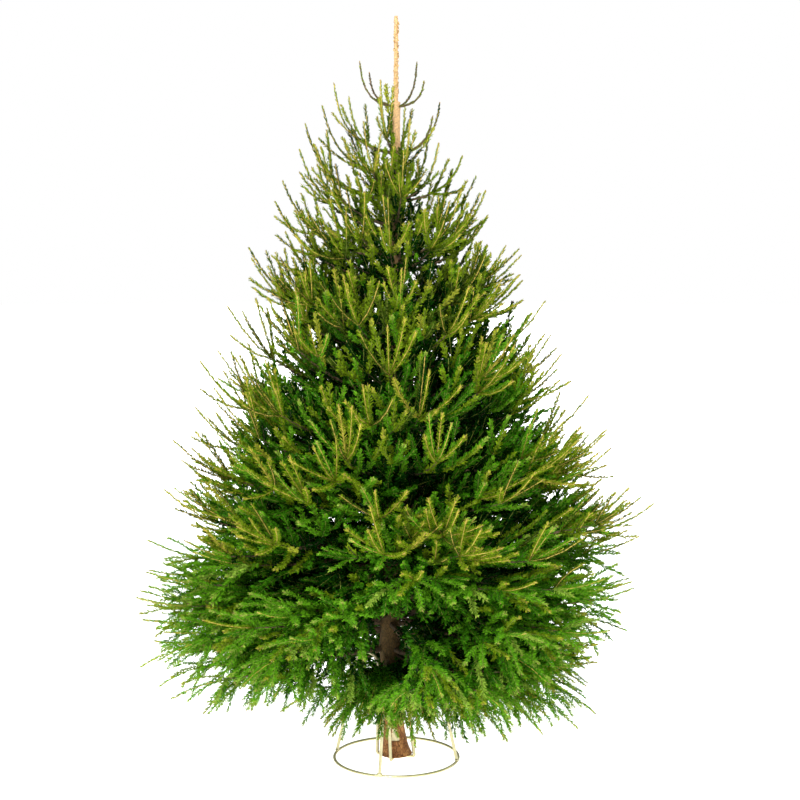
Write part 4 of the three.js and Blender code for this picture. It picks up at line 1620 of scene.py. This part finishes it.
class AddNeedles(bpy.types.Operator):
    """Sprays of needles, one piece or more for each tone"""
    bl_idname = "spruce.add_needles"
    bl_label = "Needles"

    def execute(self, context):
        sizes = context.scene.spruce_sizes
        colours = context.scene.spruce_colours
        random = seeded(TONE_SEED)
        dealt = {tone: [] for tone in TONES}
        for shoot in grown()["shoots"]:
            if needled(shoot):
                for tone, spray in sprays_of(shoot, shoot_tone(shoot, random)):
                    dealt[tone].append(spray)
        for seed, (tone, sprays) in enumerate(dealt.items()):
            material = needle_material(tone, getattr(colours, tone))
            points, faces = needle_arrays(sprays, sizes, seed)
            count = len(faces) // 2
            parts = math.ceil(count / MOST_NEEDLES)
            for part in range(parts):
                first = part * count // parts
                last = (part + 1) * count // parts
                name = f"needles_{tone}_{part + 1}" if parts > 1 else f"needles_{tone}"
                piece = mesh_piece(name, points[first * 4:last * 4],
                                   [faces[first * 2:last * 2] - first * 4], material)
                finish_piece(piece, "needles")
        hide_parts(*node_names("foliage_"))
        return {"FINISHED"}


class AddBuds(bpy.types.Operator):
    """Buds at the tips of the outer shoots"""
    bl_idname = "spruce.add_buds"
    bl_label = "Buds"

    def execute(self, context):
        colour = tuple(context.scene.spruce_colours.bud)
        shoots = [shoot for shoot in grown()["shoots"] if bears_bud(shoot)]
        points, faces = bud_arrays(shoots, context.scene.spruce_sizes.bud_length)
        material = wood_material("buds", colour, (0.6, 1.4), 60.0, 0.55)
        finish_piece(mesh_piece("buds", points, [faces], material, True), "bark")
        return {"FINISHED"}


class AddStand(bpy.types.Operator):
    """Floor ring and the four bent wires that hold the trunk"""
    bl_idname = "spruce.add_stand"
    bl_label = "Stand"

    def execute(self, context):
        wire_radius = context.scene.spruce_sizes.wire_radius
        low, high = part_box("stand_ring")
        ring_radius = (high.x - low.x) / 2 - wire_radius
        material = wire_material(tuple(context.scene.spruce_colours.wire))
        flatness = math.cos(math.pi / WIRE_SIDES)
        centre = (AXIS[0], AXIS[1], wire_radius * flatness)
        ring = primitive("stand_floor_ring", bpy.ops.mesh.primitive_torus_add, major_segments=RING_SEGMENTS,
                         minor_segments=ROD_SEGMENTS, major_radius=ring_radius, minor_radius=wire_radius,
                         location=centre)
        bpy.ops.object.mode_set(mode="EDIT")
        bpy.ops.mesh.select_all(action="SELECT")
        bpy.ops.transform.resize(value=(1, 1, flatness), center_override=centre)
        bpy.ops.object.mode_set(mode="OBJECT")
        ring.data.materials.append(material)
        smooth(ring)
        finish_piece(ring, "wire", "stand_ring")
        for index in range(WIRE_COUNT):
            turned = math.radians(WIRE_TURN + 360 / WIRE_COUNT * index)
            points = wire_path(turned, wire_radius, ring_radius)
            bent = rod(f"stand_rod_{index + 1}", points, wire_radius)
            select_only(bent, weld(points[0], turned))
            bpy.ops.object.join()
            bent.data.materials.clear()
            bent.data.materials.append(material)
            smooth(bent)
            finish_piece(bent, "wire", f"stand_wire_{index + 1}")
        return {"FINISHED"}


def add_sun(name, strength, spread, towards):
    """A distant soft light that comes from a direction."""
    light = bpy.data.lights.new(name, "SUN")
    light.energy = strength
    light.angle = math.radians(spread)
    lamp = bpy.data.objects.new(name, light)
    bpy.context.scene.collection.objects.link(lamp)
    lamp.rotation_euler = Vector(towards).to_track_quat("Z", "Y").to_euler()


def studio_world(strength):
    """A white surround that lights the tree less than it shows."""
    world = bpy.data.worlds.new("studio")
    world.use_nodes = True
    nodes = world.node_tree.nodes
    links = world.node_tree.links
    background = nodes["Background"]
    path = nodes.new("ShaderNodeLightPath")
    mixer = nodes.new("ShaderNodeMapRange")
    mixer.inputs["To Min"].default_value = strength
    mixer.inputs["To Max"].default_value = 1.0
    links.new(path.outputs["Is Camera Ray"], mixer.inputs["Value"])
    links.new(mixer.outputs["Result"], background.inputs["Strength"])
    background.inputs["Color"].default_value = (1, 1, 1, 1)
    return world


class SetStage(bpy.types.Operator):
    """Pale floor, soft light and the camera"""
    bl_idname = "spruce.set_stage"
    bl_label = "Stage"

    def execute(self, context):
        scene = context.scene
        stage = scene.spruce_stage
        floor = primitive("floor", bpy.ops.mesh.primitive_circle_add, vertices=96, radius=FLOOR_RADIUS,
                          fill_type="NGON")
        floor.data.materials.append(floor_material(stage.floor_glow))
        scene.world = studio_world(stage.surround)
        for name, (spread, towards) in SUNS.items():
            add_sun(name, getattr(stage, name), spread, towards)
        camera = bpy.data.cameras.new("camera")
        camera.lens = CAMERA_LENS
        camera.sensor_width = CAMERA_SENSOR
        view = bpy.data.objects.new("camera", camera)
        scene.collection.objects.link(view)
        view.location = AXIS + np.array([CAMERA_ASIDE, -CAMERA_DISTANCE, CAMERA_HEIGHT])
        view.rotation_euler = (math.radians(90 - CAMERA_PITCH), 0, 0)
        scene.camera = view
        scene.view_settings.view_transform = "Standard"
        return {"FINISHED"}


class SprucePanel(bpy.types.Panel):
    bl_idname = "VIEW3D_PT_spruce"
    bl_label = "Spruce"
    bl_space_type = "VIEW_3D"
    bl_region_type = "UI"
    bl_category = "Spruce"

    def draw(self, context):
        layout = self.layout
        scene = context.scene
        for group in (scene.spruce_sizes, scene.spruce_colours, scene.spruce_stage):
            for name in group.__annotations__:
                layout.prop(group, name)
        for operator in OPERATORS:
            layout.operator(operator.bl_idname)


OPERATORS = (AddTrunk, AddLeader, AddBoughs, AddTwigs, AddNeedles, AddBuds, AddStand, SetStage)
CLASSES = (SpruceSizes, SpruceColours, SpruceStage, *OPERATORS, SprucePanel)


def register():
    for cls in CLASSES:
        bpy.utils.register_class(cls)
    bpy.types.Scene.spruce_sizes = bpy.props.PointerProperty(type=SpruceSizes)
    bpy.types.Scene.spruce_colours = bpy.props.PointerProperty(type=SpruceColours)
    bpy.types.Scene.spruce_stage = bpy.props.PointerProperty(type=SpruceStage)


def unregister():
    del bpy.types.Scene.spruce_stage
    del bpy.types.Scene.spruce_colours
    del bpy.types.Scene.spruce_sizes
    for cls in reversed(CLASSES):
        bpy.utils.unregister_class(cls)


def main():
    register()
    bpy.ops.spruce.add_trunk()
    bpy.ops.spruce.add_leader()
    bpy.ops.spruce.add_boughs()
    bpy.ops.spruce.add_twigs()
    bpy.ops.spruce.add_needles()
    bpy.ops.spruce.add_buds()
    bpy.ops.spruce.add_stand()
    bpy.ops.spruce.set_stage()


if __name__ == "__main__":
    main()
